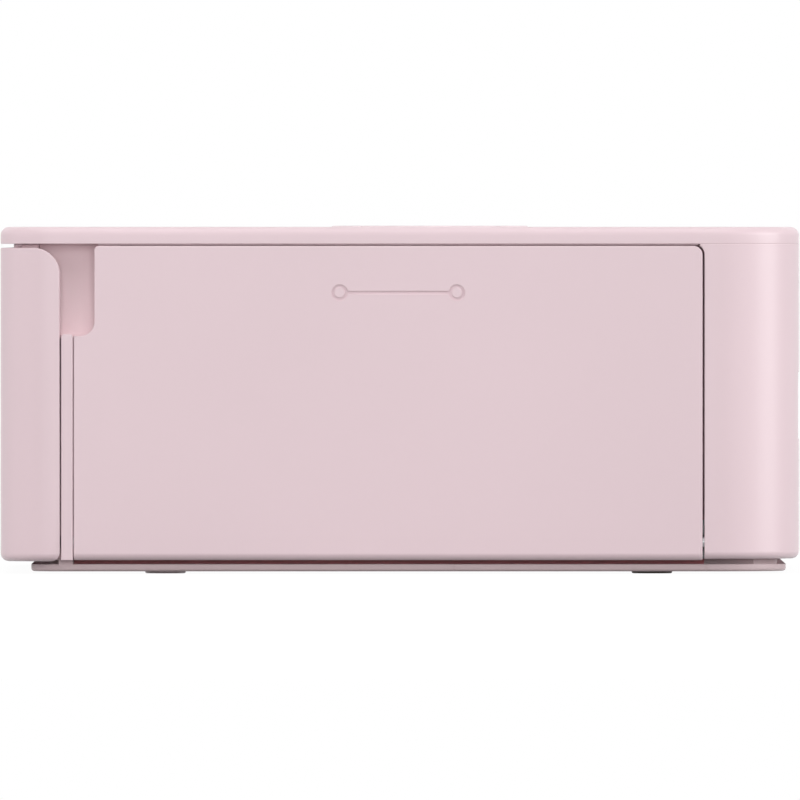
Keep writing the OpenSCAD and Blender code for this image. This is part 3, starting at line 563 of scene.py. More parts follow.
# Ends a hair short of a half circle keep their two arcs from crossing.
NOT_QUITE = 0.9995
SMALL_KEYS = ["print_button", "power_button", "home_button", "back_button", "edit_button"]
ARROW_KEYS = {"right_key": 0, "up_key": 90, "left_key": 180, "down_key": 270}


def key_plan(node):
    """A key's middle and half its cap's width and depth: its box less the flange below the lid."""
    low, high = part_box(node)
    return (low + high) / 2, (high.x - low.x) / 2 - KEY_FLANGE, (high.y - low.y) / 2 - KEY_FLANGE


def slot_shape(name, middle, half_x, half_y, low_z, high_z):
    """A rod for a round key, or a block with round ends for a long one."""
    if near(half_x, half_y):
        return column(name, middle, low_z, high_z, half_x, 64)
    shape = slab(name, middle, half_x, half_y, low_z, high_z)
    round_edges(shape, upright, min(half_x, half_y) * NOT_QUITE, 14)
    pick(shape, "VERT", lambda place: True)
    bpy.ops.mesh.remove_doubles(threshold=0.005 * MM)
    leave()
    return shape


RING_OUT = (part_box("up_key")[1].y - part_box("down_key")[0].y) / 2 - KEY_FLANGE
ring_centre, OK_R = key_plan("ok_key")[:2]
cut(lid, column("ring hole", ring_centre, LID_Z - OVER, LID_TOP + OVER, RING_OUT + KEY_SLIT, 96))
for node in SMALL_KEYS:
    middle, half_x, half_y = key_plan(node)
    cut(lid, slot_shape("key hole", middle, half_x + KEY_SLIT, half_y + KEY_SLIT,
                        LID_Z - OVER, LID_TOP + OVER))
break_edges(lid, LID_EDGE)
smooth(lid)

# %% [markdown]
# ## The ribbon door
#
# The door is a flat plate 2 mm thick that hinges at its foot and opens outwards. Its
# upper front is cut back by a step, so a finger can reach behind its edge, and the
# step's inner corner is filleted. The plate starts without the step: the lower front is
# extruded forwards from it, which leaves one clean inner edge for the fillet.

# %% The door's plate
STEP_Z = 39.6 * MM
DOOR_UPPER_Y = -50.85 * MM
STEP_FILLET = 2.35 * MM
DOOR_TOP_ROUND = 1.55 * MM
DOOR_TIP_ROUND = 0.75 * MM
DOOR_FOOT_ROUND = 1.2 * MM
DOOR_PLAY = 0.07 * MM
EDGE_ROUND = 0.2 * MM
door_lower_y = door_low.y
door_rear_y = door_high.y - DOOR_PLAY
door = block("door_plate", (SIDE - WALL, DOOR_UPPER_Y, door_low.z), (SIDE, door_rear_y, door_high.z))
split(door, lambda centre, normal: True, (0, 0, STEP_Z), (0, 0, 1))
pick(door, "FACE", lambda centre, normal: normal.y < -0.9 and centre.z < STEP_Z)
bpy.ops.mesh.extrude_region_move(TRANSFORM_OT_translate={"value": (0, door_lower_y - DOOR_UPPER_Y, 0)})
leave()
round_edges(door, lies(y=DOOR_UPPER_Y, z=STEP_Z), STEP_FILLET, 10)
round_edges(door, lies(y=door_rear_y, z=door_high.z), DOOR_TOP_ROUND, 8)
round_edges(door, lies(y=DOOR_UPPER_Y, z=door_high.z), DOOR_TIP_ROUND, 4)
round_edges(door, lies(x=SIDE, z=door_low.z), DOOR_FOOT_ROUND, 7)
break_edges(door, EDGE_ROUND)
print(size_text(door))

# %% Its hinge bosses and pin bores
PIVOT_IN = 2.8 * MM
BOSS_R = 2.1 * MM
BOSS_L = 6.0 * MM
WEB_DROP = BOSS_R * 0.57
PIN_DEPTH = 4.5 * MM
# How far a part reaches into the one that it is joined to.
BITE = 0.1 * MM
pin_low, pin_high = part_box("ribbon_door_pins")
pin_z = (pin_low.z + pin_high.z) / 2
PIN_R = (pin_high.z - pin_low.z) / 2
PIN_HOLE_R = PIN_R * 1.001
door_hinge_x = SIDE - PIVOT_IN
plate_back = SIDE - WALL + BITE


def beside_door(name, y_from, y_to, radius):
    """A rod on the door's hinge line."""
    return rod(name, (door_hinge_x, y_from, pin_z), (door_hinge_x, y_to, pin_z), radius)


for near_end, far_end in ((door_lower_y, door_lower_y + BOSS_L), (door_rear_y, door_rear_y - BOSS_L)):
    y_low, y_high = sorted((near_end, far_end))
    join_on(door, beside_door("boss", y_low, y_high, BOSS_R),
            block("web", (door_hinge_x, y_low, pin_z - WEB_DROP), (plate_back, y_high, pin_z + BOSS_R)))
    outward = math.copysign(OVER, near_end - far_end)
    inward = math.copysign(PIN_DEPTH, far_end - near_end)
    cut(door, beside_door("bore", near_end + outward, near_end + inward, PIN_HOLE_R))
print("pin bores, mm across:", round(2 * PIN_HOLE_R / MM, 2))

# %% Its latch nub
NUB_W = 4.0 * MM
NUB_TOP = door_high.z - 2.0 * MM
NUB_H = 1.6 * MM
NUB_ROUND = 0.6 * MM
nub = block("latch nub", (door_low.x, -NUB_W / 2, NUB_TOP - NUB_H), (plate_back, NUB_W / 2, NUB_TOP))
round_edges(nub, lies(x=door_low.x), NUB_ROUND, 4)
join_on(door, nub)
print(size_text(door))

# %% A sunk sign of a cassette: two rings and the ribbon between them
SIGN_Z = 46.8 * MM
SIGN_RING = 1.35 * MM
SIGN_LINE = 0.5 * MM
SIGN_HALF = 9.75 * MM
SIGN_Y = -0.3 * MM
SIGN_DEPTH = 0.3 * MM
SIGN_EDGE = 0.06 * MM
for side in (-1, 1):
    middle_y = SIGN_Y + side * SIGN_HALF
    ring = rod("ring", (SIDE - SIGN_DEPTH, middle_y, SIGN_Z), (SIDE + OVER, middle_y, SIGN_Z), SIGN_RING)
    cut(ring, rod("middle", (SIDE - OVER, middle_y, SIGN_Z), (SIDE + 2 * OVER, middle_y, SIGN_Z),
                  SIGN_RING - SIGN_LINE))
    cut(door, ring)
reach = SIGN_HALF - SIGN_RING + BITE
cut(door, block("ribbon line", (SIDE - SIGN_DEPTH, SIGN_Y - reach, SIGN_Z - SIGN_LINE / 2),
                (SIDE + OVER, SIGN_Y + reach, SIGN_Z + SIGN_LINE / 2)))
break_edges(door, SIGN_EDGE, 2, lambda a, b: near(a.x, SIDE) and near(b.x, SIDE) and a.z > STEP_Z)
smooth(door)

# %% [markdown]
# ## The front cover
#
# One moulding goes across the front and wraps round both sides as short wings. Seen from
# the side a wing is a tall plate with one generous round corner at its upper rear. The
# cover is made as a solid block with the casing's front corners, hollowed by a second
# block, and then trimmed by a long bar whose edges carry the corner radii of the wings,
# as a saw would cut both wings in one pass.

# %% The cover's wrapped wall
COVER_WALL = 1.9 * MM
COVER_FOOT_ROUND = 1.3 * MM
WING_TOP_ROUND = 4.35 * MM
WING_LOW_ROUND = 1.5 * MM
PLAN_REACH = 30 * MM
wing_y = cover_high.y
cover_z0 = cover_low.z
cover_z1 = cover_high.z


def round_foot(piece, foot_z, radius, spared_y):
    """Rounds the lower outer edges of a block, except the one across at spared_y."""
    at_foot = lies(z=foot_z)
    spared = lies(y=spared_y)
    round_edges(piece, lambda a, b: at_foot(a, b) and not spared(a, b), radius, 6)


cover = block("cover_shell", (-SIDE, FRONT, cover_z0), (SIDE, FRONT + PLAN_REACH, cover_z1))
round_edges(cover, upright_at(FRONT), FRONT_R, 20)
round_foot(cover, cover_z0, COVER_FOOT_ROUND, FRONT + PLAN_REACH)
inside = block("inside", (-SIDE + COVER_WALL, FRONT + COVER_WALL, cover_z0 - OVER),
               (SIDE - COVER_WALL, FRONT + PLAN_REACH + OVER, cover_z1 + OVER))
round_edges(inside, upright_at(FRONT + COVER_WALL), FRONT_R - COVER_WALL, 20)
cut(cover, inside)
trim = block("trim", (-SIDE - OVER, FRONT - OVER, cover_z0), (SIDE + OVER, wing_y, cover_z1))
round_edges(trim, lies(y=wing_y, z=cover_z1), WING_TOP_ROUND, 16)
round_edges(trim, lies(y=wing_y, z=cover_z0), WING_LOW_ROUND, 8)
combine(cover, trim, "INTERSECT")
print(size_text(cover))

# %% Its hinge lugs, pin bores and grip
EAR_IN = 76.0 * MM
EAR_OUT = 79.0 * MM
EAR_GAP = 0.2 * MM
LUG_W = 3.0 * MM
KNUCKLE_R = 2.1 * MM
ROOT_HALF = KNUCKLE_R * 0.99
BORE_OUT = EAR_OUT + 4.4 * MM
cover_pin_low, cover_pin_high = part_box("front_cover_pins")
cover_hinge = (cover_pin_low + cover_pin_high) / 2
lug_back = FRONT + COVER_WALL - BITE
relief = KNUCKLE_R + EAR_GAP


def side_ends(side, inner, outer):
    """The two ends of a stretch along X on one side of the middle, the lower one first."""
    return sorted((side * inner, side * outer))


def on_hinge(name, ends, radius):
    """A rod on the cover's hinge line."""
    return rod(name, *[(x, cover_hinge.y, cover_hinge.z) for x in ends], radius)


for side in (-1, 1):
    for start in (EAR_IN - EAR_GAP - LUG_W, EAR_OUT + EAR_GAP):
        ends = side_ends(side, start, start + LUG_W)
        join_on(cover, on_hinge("knuckle", ends, KNUCKLE_R),
                block("root", (ends[0], lug_back, cover_hinge.z - ROOT_HALF),
                      (ends[1], cover_hinge.y, cover_hinge.z + ROOT_HALF)))
    cut(cover, on_hinge("bore", side_ends(side, EAR_IN - EAR_GAP - LUG_W - OVER, BORE_OUT), PIN_HOLE_R))
    ends = side_ends(side, EAR_IN - EAR_GAP, EAR_OUT + EAR_GAP)
    cut(cover, on_hinge("relief", ends, relief),
        block("relief below", (ends[0], cover_hinge.y - relief, 0), (ends[1], cover_hinge.y, cover_hinge.z)))
GRIP_HALF = 3.0 * MM
GRIP_REACH = 2.1 * MM
GRIP_UNDER = 4.0 * MM
GRIP_OVER = 2.8 * MM
join_on(cover, block("grip", (-GRIP_HALF, lug_back, cover_z1 - GRIP_UNDER),
                     (GRIP_HALF, FRONT + GRIP_REACH, cover_z1 - GRIP_OVER)))

# %% Its broken edges
# An edge this near to a surface counts as lying on it.
ON_FACE = 0.05 * MM
ROW_BELOW = 0.3 * MM
LOW_ROW = 10.0 * MM


def on_open_rim(a, b):
    """The cover's top edge and the free edges of its wings, above their lower round corners."""
    return all(p.z > cover_z0 + WING_LOW_ROUND - ON_FACE and
               (near(p.z, cover_z1) or abs(p.x) > EAR_OUT + 2 * LUG_W) for p in (a, b))


break_edges(cover, EDGE_ROUND, where=on_open_rim)
for level in (cover_z1 - WING_TOP_ROUND - ROW_BELOW, cover_z0 + LOW_ROW):
    # More rows of faces keep the shading of the corners close to them.
    split(cover, lambda centre, normal: abs(normal.z) < 0.5, (0, 0, level), (0, 0, 1))
smooth(cover)

# %% [markdown]
# ## The shell
#
# Left side, back and the round rear corners are one moulding, open in front and above.
# It starts as the block of the whole casing behind the front cover. Two blocks hollow
# it, a lower one that leaves the screw flange and an upper one that leaves the 2 mm
# wall. Then the right side is sawn off in front of the corner, to make room for the
# ribbon door. That cutter has a round upper edge, so the shell follows the door's corner
# with an even gap and ends in a small nose below the lid.

# %% The shell's wall and flange
FLANGE_W = 6.0 * MM
FLANGE_H = 3.0 * MM
SHELL_FOOT_ROUND = 1.2 * MM
SHELL_RIGHT_Y = 50.65 * MM
NOSE_L = 0.8 * MM
shell_z0 = shell_low.z
shell_y0 = shell_low.y
nose_z = LID_Z - LID_LAP


def rear_block(name, y_front, inset, low_z, high_z):
    """A block that fits the casing's plan at the back, drawn in by an inset."""
    piece = block(name, (-SIDE + inset, y_front, low_z), (SIDE - inset, REAR - inset, high_z))
    round_edges(piece, upright_at(REAR - inset), REAR_R - inset, 20)
    return piece


ahead = shell_y0 - OVER
door_place = block("door's place", (0, ahead, shell_z0 - OVER), (SIDE + OVER, SHELL_RIGHT_Y, nose_z))
round_edges(door_place, lies(y=SHELL_RIGHT_Y, z=nose_z), DOOR_TOP_ROUND + SHELL_RIGHT_Y - door_rear_y, 12)
shell = rear_block("shell", shell_y0, 0, shell_z0, LID_Z)
round_foot(shell, shell_z0, SHELL_FOOT_ROUND, shell_y0)
cut(shell,
    rear_block("upper room", ahead, WALL, shell_z0 + FLANGE_H, LID_Z + OVER),
    rear_block("lower room", ahead, WALL + FLANGE_W, shell_z0 - OVER, shell_z0 + FLANGE_H + OVER),
    door_place,
    block("above the door", (0, ahead, LID_Z - OVER), (SIDE + OVER, SHELL_RIGHT_Y - NOSE_L, LID_Z + OVER)))
print(size_text(shell))

# %% Jamb behind the door's rear edge, with the bore for its hinge pin
JAMB_T = 1.5 * MM
JAMB_IN = 4.3 * MM
BEARING_T = 3.4 * MM
BEARING_IN = 5.2 * MM
BEARING_RISE = 3.0 * MM
BORE_R = PIN_R + 0.05 * MM
BORE_DEPTH = 2.8 * MM
join_on(shell,
        block("jamb", (SIDE - JAMB_IN, SHELL_RIGHT_Y, shell_z0), (plate_back, SHELL_RIGHT_Y + JAMB_T, LID_Z)),
        block("bearing", (SIDE - BEARING_IN, SHELL_RIGHT_Y, shell_z0),
              (plate_back, SHELL_RIGHT_Y + BEARING_T, pin_z + BEARING_RISE)))
cut(shell, beside_door("bore", SHELL_RIGHT_Y - OVER, SHELL_RIGHT_Y + BORE_DEPTH, BORE_R))
print("bearing bore, mm across:", round(2 * BORE_R / MM, 2))

# %% Grooves, paper slot and power inlet
GROOVE_H = 1.3 * MM
GROOVE_T = 0.25 * MM
GROOVE_Z = [22.4 * MM, 41.4 * MM]
INLET = (-72.0 * MM, 15.0 * MM)
INLET_R = 3.8 * MM
groove_x = SIDE - REAR_R - 0.6 * MM
for z in GROOVE_Z:
    cut(shell, block("groove", (-groove_x, REAR - GROOVE_T, z - GROOVE_H / 2),
                     (groove_x, REAR + OVER, z + GROOVE_H / 2)))
slot_low, slot_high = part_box("rear_slot_frame")
gap = Vector((0.1 * MM, 0, 0.1 * MM))
cut(shell, block("paper slot", Vector((slot_low.x, REAR - WALL - OVER, slot_low.z)) - gap,
                 Vector((slot_high.x, REAR + OVER, slot_high.z)) + gap))
cut(shell, rod("inlet", (INLET[0], REAR - WALL - OVER, INLET[1]), (INLET[0], REAR + OVER, INLET[1]), INLET_R))
print("grooves across the back:", len(GROOVE_Z))

# %% Air vents and screw holes
VENTS = 8
VENT_PITCH = 4.0 * MM
VENT_W = 1.4 * MM
VENT_Z = (14.0 * MM, 26.0 * MM)
for step in range(VENTS):
    y = step * VENT_PITCH
    vent = block("vent", (-SIDE - OVER, y, VENT_Z[0]), (-SIDE + WALL + OVER, y + VENT_W, VENT_Z[1]))
    round_edges(vent, along_x, VENT_W / 2.01, 5)
    cut(shell, vent)
SHELL_SCREWS = [in_metres(x, y) for x, y in ((-86, -40), (-86, 38), (-50, 61.4), (50, 61.4))]
FRAME_SCREWS = [in_metres(x, -56) for x in (-58, 58)]
SCREW_HOLE_R = 1.3 * MM
SHELL_HOLE_Z = (1.5 * MM, 5.1 * MM)
for place in SHELL_SCREWS:
    cut(shell, column("screw hole", place, *SHELL_HOLE_Z, SCREW_HOLE_R, 24))


def skin_depth(place):
    """How far a place lies inside the casing's plan, with its wide rear corners."""
    from_side = SIDE - abs(place.x)
    from_rear = REAR - place.y
    if from_side < REAR_R and from_rear < REAR_R:
        return REAR_R - math.hypot(REAR_R - from_side, REAR_R - from_rear)
    return min(from_side, from_rear)


def on_skin(a, b):
    """Edges on the outer skin, above the rounded foot."""
    return max(skin_depth(a), skin_depth(b)) < ON_FACE and min(a.z, b.z) > shell_z0 + SHELL_FOOT_ROUND


break_edges(shell, EDGE_ROUND, where=on_skin)
smooth(shell)

# %% [markdown]
# ## The base
#
# The base is a shallow tray that stands a little in from the walls. From the side only
# its rim shows, a shade darker, below the gap under the door, with three thin tool seams.
# Its lower edge is rounded, and its top carries a raised floor that the screws pull
# against the shell. Below the jamb the rim rises to a sill that closes the gap there. A
# rose strip lies along the raised floor, at the back of the gap below the door: painted
# bounce light, which gives that dark gap its reddish tone.

# %% The base's rim, raised floor and sill
BASE_INSET = 2.2 * MM
BASE_TOP = 1.6 * MM
FLOOR_INSET = 3.6 * MM
FLOOR_FRONT = -58.5 * MM
FLOOR_RIGHT = 84.8 * MM
BASE_FOOT_ROUND = 0.5 * MM
FLOOR_LOW = BASE_TOP - 0.2 * MM
SILL_LEFT = SIDE - 8.4 * MM
SILL_FRONT = wing_y - 0.2 * MM
SILL_REAR = door_lower_y - 0.1 * MM
SILL_LOW = BASE_TOP - 0.3 * MM
SILL_TOP = 2.6 * MM
base_z0 = base_low.z
base = block("base", base_low, (base_high.x, base_high.y, BASE_TOP))
round_edges(base, upright_at(base_low.y), FRONT_R - BASE_INSET, 12)
round_edges(base, upright_at(base_high.y), REAR_R - BASE_INSET, 24)
round_edges(base, lies(z=base_z0), BASE_FOOT_ROUND, 4)
floor_part = rear_block("raised floor", FLOOR_FRONT, FLOOR_INSET, FLOOR_LOW, shell_z0)
cut(floor_part, block("door's swing", (FLOOR_RIGHT, FRONT, 0), (SIDE, REAR, LID_Z)))
join_on(base, floor_part)
POST_R = 2.4 * MM
POST_Z = (2.4 * MM, 10.2 * MM)
for x in (-80, -42):
    for y in (-53.4, 6):
        join_on(base, column("post", in_metres(x, y), *POST_Z, POST_R, 32))
join_on(base, block("jack stand", in_metres(-77, 52.5, 2.4), in_metres(-67, 58.4, 9)),
        block("sill", (SILL_LEFT, SILL_FRONT, SILL_LOW), (base_high.x, SILL_REAR, SILL_TOP)))
print(size_text(base))

# %% The rose strip below the door, painted bounce light
STRIP_GAP = 0.02 * MM
STRIP_LEFT = FLOOR_RIGHT - 0.6 * MM
STRIP_RIGHT = FLOOR_RIGHT + 0.03 * MM
STRIP_EDGE = 0.1 * MM
# A rose strip over the face at the back of the gap under the door: painted bounce light.
bounce_strip = block("door_seal", (STRIP_LEFT, door_lower_y, BASE_TOP + STRIP_GAP),
             (STRIP_RIGHT, SHELL_RIGHT_Y, shell_z0 - STRIP_GAP))
break_edges(bounce_strip, STRIP_EDGE)
smooth(bounce_strip)

# %% Recesses for the feet and the screws, and the tool seams
FOOT_PLACES = [in_metres(x, y) for y in (-39.1, 42) for x in (-76, 76)]
FOOT_R = 3.4 * MM
FOOT_SINK = 0.5 * MM
FOOT_PLAY = 0.1 * MM
HEAD_R = 2.3 * MM
HEAD_SINK = 1.1 * MM
BASE_HOLE_Z = (0.5 * MM, 3.5 * MM)
SEAM_Y = [-9.0, 9.0, 50.9]
SEAM_W = 0.12
SEAM_X = (88.75, 90)
SEAM_Z = (0.2, 1.7)
for place in FOOT_PLACES:
    cut(base, column("foot seat", place, -OVER, base_z0 + FOOT_SINK, FOOT_R + FOOT_PLAY))
for place in SHELL_SCREWS + FRAME_SCREWS:
    cut(base, column("head room", place, -OVER, base_z0 + HEAD_SINK, HEAD_R, 32),
        column("screw hole", place, *BASE_HOLE_Z, SCREW_HOLE_R, 24))
for y in SEAM_Y:
    cut(base, block("seam", in_metres(SEAM_X[0], y - SEAM_W / 2, SEAM_Z[0]),
                    in_metres(SEAM_X[1], y + SEAM_W / 2, SEAM_Z[1])))
smooth(base)

# %% [markdown]
# ## Frames behind the covers
#
# Some inner mouldings reach the surface: the frame behind the front cover, the lining of
# the paper slot, and the panel round the cassette's opening. The cassette and its lever
# show once the door is open. Their forms are right in the frame already, so a copy of
# each is taken. Its loose triangles are merged, flat ones are dissolved into whole
# faces, and then its edges are broken as on the other pieces.

# %% Copies of frame parts with their edges broken
FRAME_EDGE = 0.12 * MM


def softened(node, name, width=None):
    """A merged copy of a CAD node, with a fine round on its sharp edges if a width is given."""
    piece = bpy.data.objects.new(name, frame["nodes"][node].data.copy())
    bpy.context.scene.collection.objects.link(piece)
    pick(piece, "VERT", lambda place: True)
    bpy.ops.mesh.remove_doubles(threshold=0.002 * MM)
    bpy.ops.mesh.dissolve_limited(angle_limit=math.radians(1))
    leave()
    if width:
        break_edges(piece, width, 2)
    smooth(piece)
    return piece


slot_lining = softened("rear_slot_frame", "paper_slot_lining", EDGE_ROUND)
cover_frame = softened("front_frame", "front_frame_moulding", FRAME_EDGE)
lever = softened("eject_lever", "eject_lever_arm", EDGE_ROUND)
cassette = softened("cassette_case", "cassette_body", EDGE_ROUND)

# %% Grip grooves in the cassette's end plate
GRIP_GROOVES = 7
GRIP_PITCH = 2.4 * MM
GRIP_W = 1.0 * MM
GRIP_DEPTH = 0.6 * MM
GRIP_EDGE = 0.15 * MM
GRIP_Y = 13.0 * MM
GRIP_Z = (30.5 * MM, 40.5 * MM)
end_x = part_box("cassette_case")[1].x
for step in range(GRIP_GROOVES):
    y = GRIP_Y + (step - GRIP_GROOVES // 2) * GRIP_PITCH
    groove = block("grip groove", (end_x - GRIP_DEPTH, y - GRIP_W / 2, GRIP_Z[0]),
                   (end_x + OVER, y + GRIP_W / 2, GRIP_Z[1]))
    round_edges(groove, along_x, 0.49 * GRIP_W, 5)
    cut(cassette, groove)


def at_grip(a, b):
    """Edges on the end plate's face, round the grooves."""
    by_grooves = abs(a.y - GRIP_Y) < 4 * GRIP_PITCH and GRIP_Z[0] - GRIP_W / 2 < a.z < GRIP_Z[1] + GRIP_W / 2
    return near(a.x, end_x) and near(b.x, end_x) and by_grooves


break_edges(cassette, GRIP_EDGE, 2, at_grip)
smooth(cassette)

# %% [markdown]
# ### The jamb and the finger recess
#
# A fingertip reaches behind the door's edge into a trough. Its wall is part of a large
# cylinder that lies along the printer's depth, level with the lid's underside. So the
# trough is deepest under the lid, and at its foot it still lies behind the door's plate.
# The copy's own jamb is cut off, the wall is filled up and hollowed by one rod, so no
# seam crosses it, and then a new jamb with a rounded head is joined on. A lap on the
# jamb reaches behind the front cover and closes the gap there.

# %% The bay panel with its recess
TROUGH_R = 64.0 * MM
TROUGH_OUT = 59.9 * MM
TROUGH_WALL = 2.0 * MM
WALL_IN = 6.8 * MM
LAP_IN = 2.3 * MM
trough_front = wing_y - 3.4 * MM
trough_rear = FRONT + 18.5 * MM


def trough(radius, y_low, y_high):
    """A rod along the trough's axis."""
    x = SIDE + TROUGH_OUT
    return rod("trough", (x, y_low, LID_Z), (x, y_high, LID_Z), radius, 256)


def on_trough(centre, normal):
    return near(math.hypot(centre.x - SIDE - TROUGH_OUT, centre.z - LID_Z), TROUGH_R, ON_FACE)


bay_panel = softened("ribbon_bay_frame", "ribbon_bay_panel")
cut(bay_panel, block("old jamb", (SIDE - LAP_IN, wing_y - OVER, 0), (SIDE + OVER, trough_rear, LID_Z + OVER)))
wall = block("wall", (SIDE - WALL_IN, trough_front, STEP_Z - 0.3 * MM),
             (SIDE - LAP_IN + 0.05 * MM, trough_rear + OVER / 2, LID_Z - 0.02 * MM))
combine(wall, trough(TROUGH_R + TROUGH_WALL, trough_front - OVER, trough_rear + OVER), "INTERSECT")
join_on(bay_panel, wall)
cut(bay_panel, trough(TROUGH_R, trough_front - OVER, trough_rear))
for split_y in (wing_y - 0.5 * MM, DOOR_UPPER_Y + 0.5 * MM):
    split(bay_panel, on_trough, (0, split_y, 0), (0, 1, 0))
print(size_text(bay_panel))

# %% Its jamb
DOOR_GAP = 0.11 * MM
JAMB_GAP = 0.22 * MM
JAMB_ROUND = 0.45 * MM
JAMB_EDGE = 0.18 * MM
jamb_front = wing_y + JAMB_GAP
jamb_rear = door_lower_y - DOOR_GAP
trough_z = STEP_Z + 0.2 * MM
jamb = block("jamb", (SIDE - LAP_IN - 0.4 * MM, jamb_front, door_low.z),
             (SIDE, jamb_rear, trough_z + 0.1 * MM))
round_edges(jamb, lambda a, b: along_x(a, b) and a.z > trough_z, JAMB_ROUND, 5)
lap = block("lap", (SIDE - LAP_IN - OVER, wing_y - 0.9 * MM, door_low.z),
            (SIDE - LAP_IN, jamb_front + 0.4 * MM, STEP_Z))
join_on(bay_panel, jamb, lap)
cut(bay_panel, beside_door("bore", wing_y - OVER, jamb_rear + OVER, BORE_R))
break_edges(bay_panel, JAMB_EDGE, where=lambda a, b: near(min(a.x, b.x), SIDE))
smooth(bay_panel)

# %% [markdown]
# ## Keys and window
#
# A key is a cap in the lid's hole, a flange that keeps it from falling out and a stem
# over its switch. The cap's rim is rounded and its top sinks by a tenth of a
# millimetre, so it catches the light as a fingertip would feel it. The marks are plain
# sunk shapes: triangles for the arrows, a ring, a bar.

# %% Small keys
CAP_ROUND = 0.3 * MM
DISH = 0.12 * MM
FLANGE_TOP = LID_Z - 0.05 * MM
FLANGE_Z = FLANGE_TOP - 0.6 * MM
CAP_BITE = 0.1 * MM
CAP_Z = FLANGE_TOP - CAP_BITE
STEM_R = 1.5 * MM
STEM_SUNK = 0.3 * MM
key_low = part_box("home_button")[0].z


def dished(cap, top_z, inner):
    """Rounds the rim of a cap and sinks the middle of its top in two small steps."""
    round_edges(cap, lies(z=top_z), CAP_ROUND, 4)
    for low_z in (top_z - DISH - CAP_BITE, top_z - 1.5 * DISH - CAP_BITE):
        pick(cap, "FACE", lambda centre, normal: normal.z > 0.99 and centre.z > low_z)
        bpy.ops.mesh.inset(thickness=inner * 0.45)
        bpy.ops.transform.translate(value=(0, 0, -DISH / 2))
        leave()


def with_stem(cap, middle, flange):
    """Joins a cap, its flange and its stem."""
    join_on(cap, flange, column("stem", middle, key_low, FLANGE_Z + STEM_SUNK, STEM_R, 24))


caps = {}
for node in SMALL_KEYS + ["ok_key"]:
    middle, half_x, half_y = key_plan(node)
    top_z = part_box(node)[1].z + RISE
    caps[node] = slot_shape(node + "_cap", middle, half_x, half_y, CAP_Z, top_z)
    dished(caps[node], top_z, min(half_x, half_y) * 0.8)
    with_stem(caps[node], middle,
              slot_shape("flange", middle, half_x + KEY_FLANGE, half_y + KEY_FLANGE, FLANGE_Z, FLANGE_TOP))
print("caps:", len(caps))

# %% The ring of four arrow keys
RING_IN = OK_R + 1.3 * MM
RING_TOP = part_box("ok_key")[1].z + RISE
FLANGE_SHY = 0.05 * MM
SPOT_OUT = 0.6 * MM


def ring_part(name, turn, outer, low_z, high_z, shy=0.0):
    """A quarter of a ring, cut along the slits. Its inner walls can stand back a little (shy)."""
    part = column(name, ring_centre, low_z, high_z, outer, 96)
    cut(part, column("middle", ring_centre, low_z - OVER, high_z + OVER, RING_IN + shy, 96))
    start = KEY_SLIT + shy
    quarter = block("quarter", (start, start, low_z - OVER), (2 * outer, 2 * outer, high_z + OVER))
    quarter.rotation_euler = (0, 0, math.radians(turn - 45))
    quarter.location = (ring_centre.x, ring_centre.y, 0)
    bpy.ops.object.transform_apply()
    combine(part, quarter, "INTERSECT")
    return part


def ring_spot(turn):
    """Where the stem and the mark of an arrow key lie."""
    reach = (RING_OUT + OK_R) / 2 + SPOT_OUT
    angle = math.radians(turn)
    return Vector((ring_centre.x + reach * math.cos(angle), ring_centre.y + reach * math.sin(angle), 0))


for node, turn in ARROW_KEYS.items():
    caps[node] = ring_part(node + "_cap", turn, RING_OUT, CAP_Z, RING_TOP)
    round_edges(caps[node], lies(z=RING_TOP), CAP_ROUND, 4)
    flange = ring_part("flange", turn, RING_OUT + KEY_FLANGE, FLANGE_Z, FLANGE_TOP, FLANGE_SHY)
    with_stem(caps[node], ring_spot(turn), flange)
print("caps:", len(caps))

# %% Marks sunk into the keys
MARK_DEPTH = 0.2 * MM
ARROW_R = 1.5 * MM
small_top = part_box("home_button")[1].z + RISE - DISH


def arrow(middle, turn, top_z=small_top):
    """A three-sided cutter that points along an angle, in degrees."""
    tool = column("arrow", (0, 0), top_z - MARK_DEPTH, top_z + OVER, ARROW_R, 3)
    tip = max(tool.data.vertices, key=lambda vertex: vertex.co.length).co
    tool.rotation_euler = (0, 0, math.radians(turn) - math.atan2(tip.y, tip.x))
    tool.location = (middle.x, middle.y, 0)
    bpy.ops.object.transform_apply()
    return tool


def circle(middle, radius, line, top_z=small_top):
    """A ring-shaped cutter. Radius and line are in millimetres."""
    tool = column("ring", middle, top_z - MARK_DEPTH, top_z + OVER, radius * MM, 32)
    cut(tool, column("middle", middle, top_z - MARK_DEPTH - OVER, top_z + 2 * OVER, (radius - line) * MM, 32))
    return tool


def bar(middle, half_x, half_y):
    """A bar-shaped cutter. Its half sizes are in millimetres."""
    return slab("bar", middle, half_x * MM, half_y * MM, small_top - MARK_DEPTH, small_top + OVER)


for node, turn in ARROW_KEYS.items():
    cut(caps[node], arrow(ring_spot(turn), turn, RING_TOP))
cut(caps["ok_key"], circle(ring_centre, 2.2, 0.5, RING_TOP - DISH))
home_at, back_at, edit_at, power_at, print_at = (
    key_plan(name + "_button")[0] for name in ("home", "back", "edit", "power", "print"))
cut(caps["home_button"], arrow(home_at + in_metres(0, 0.7, 0), 90),
    bar(home_at - in_metres(0, 1.2, 0), 1.0, 0.8))
cut(caps["back_button"], arrow(back_at - in_metres(0.4, 0, 0), 180))
cut(caps["edit_button"], *[bar(edit_at + in_metres(0, 1.1 * row, 0), 1.5, 0.25) for row in (-1, 0, 1)])
cut(caps["power_button"], circle(power_at, 1.9, 0.45), bar(power_at + in_metres(0, 1.4, 0), 0.25, 1.1))
cut(caps["print_button"], bar(print_at, 2.2, 0.3))
for cap in caps.values():
    smooth(cap)

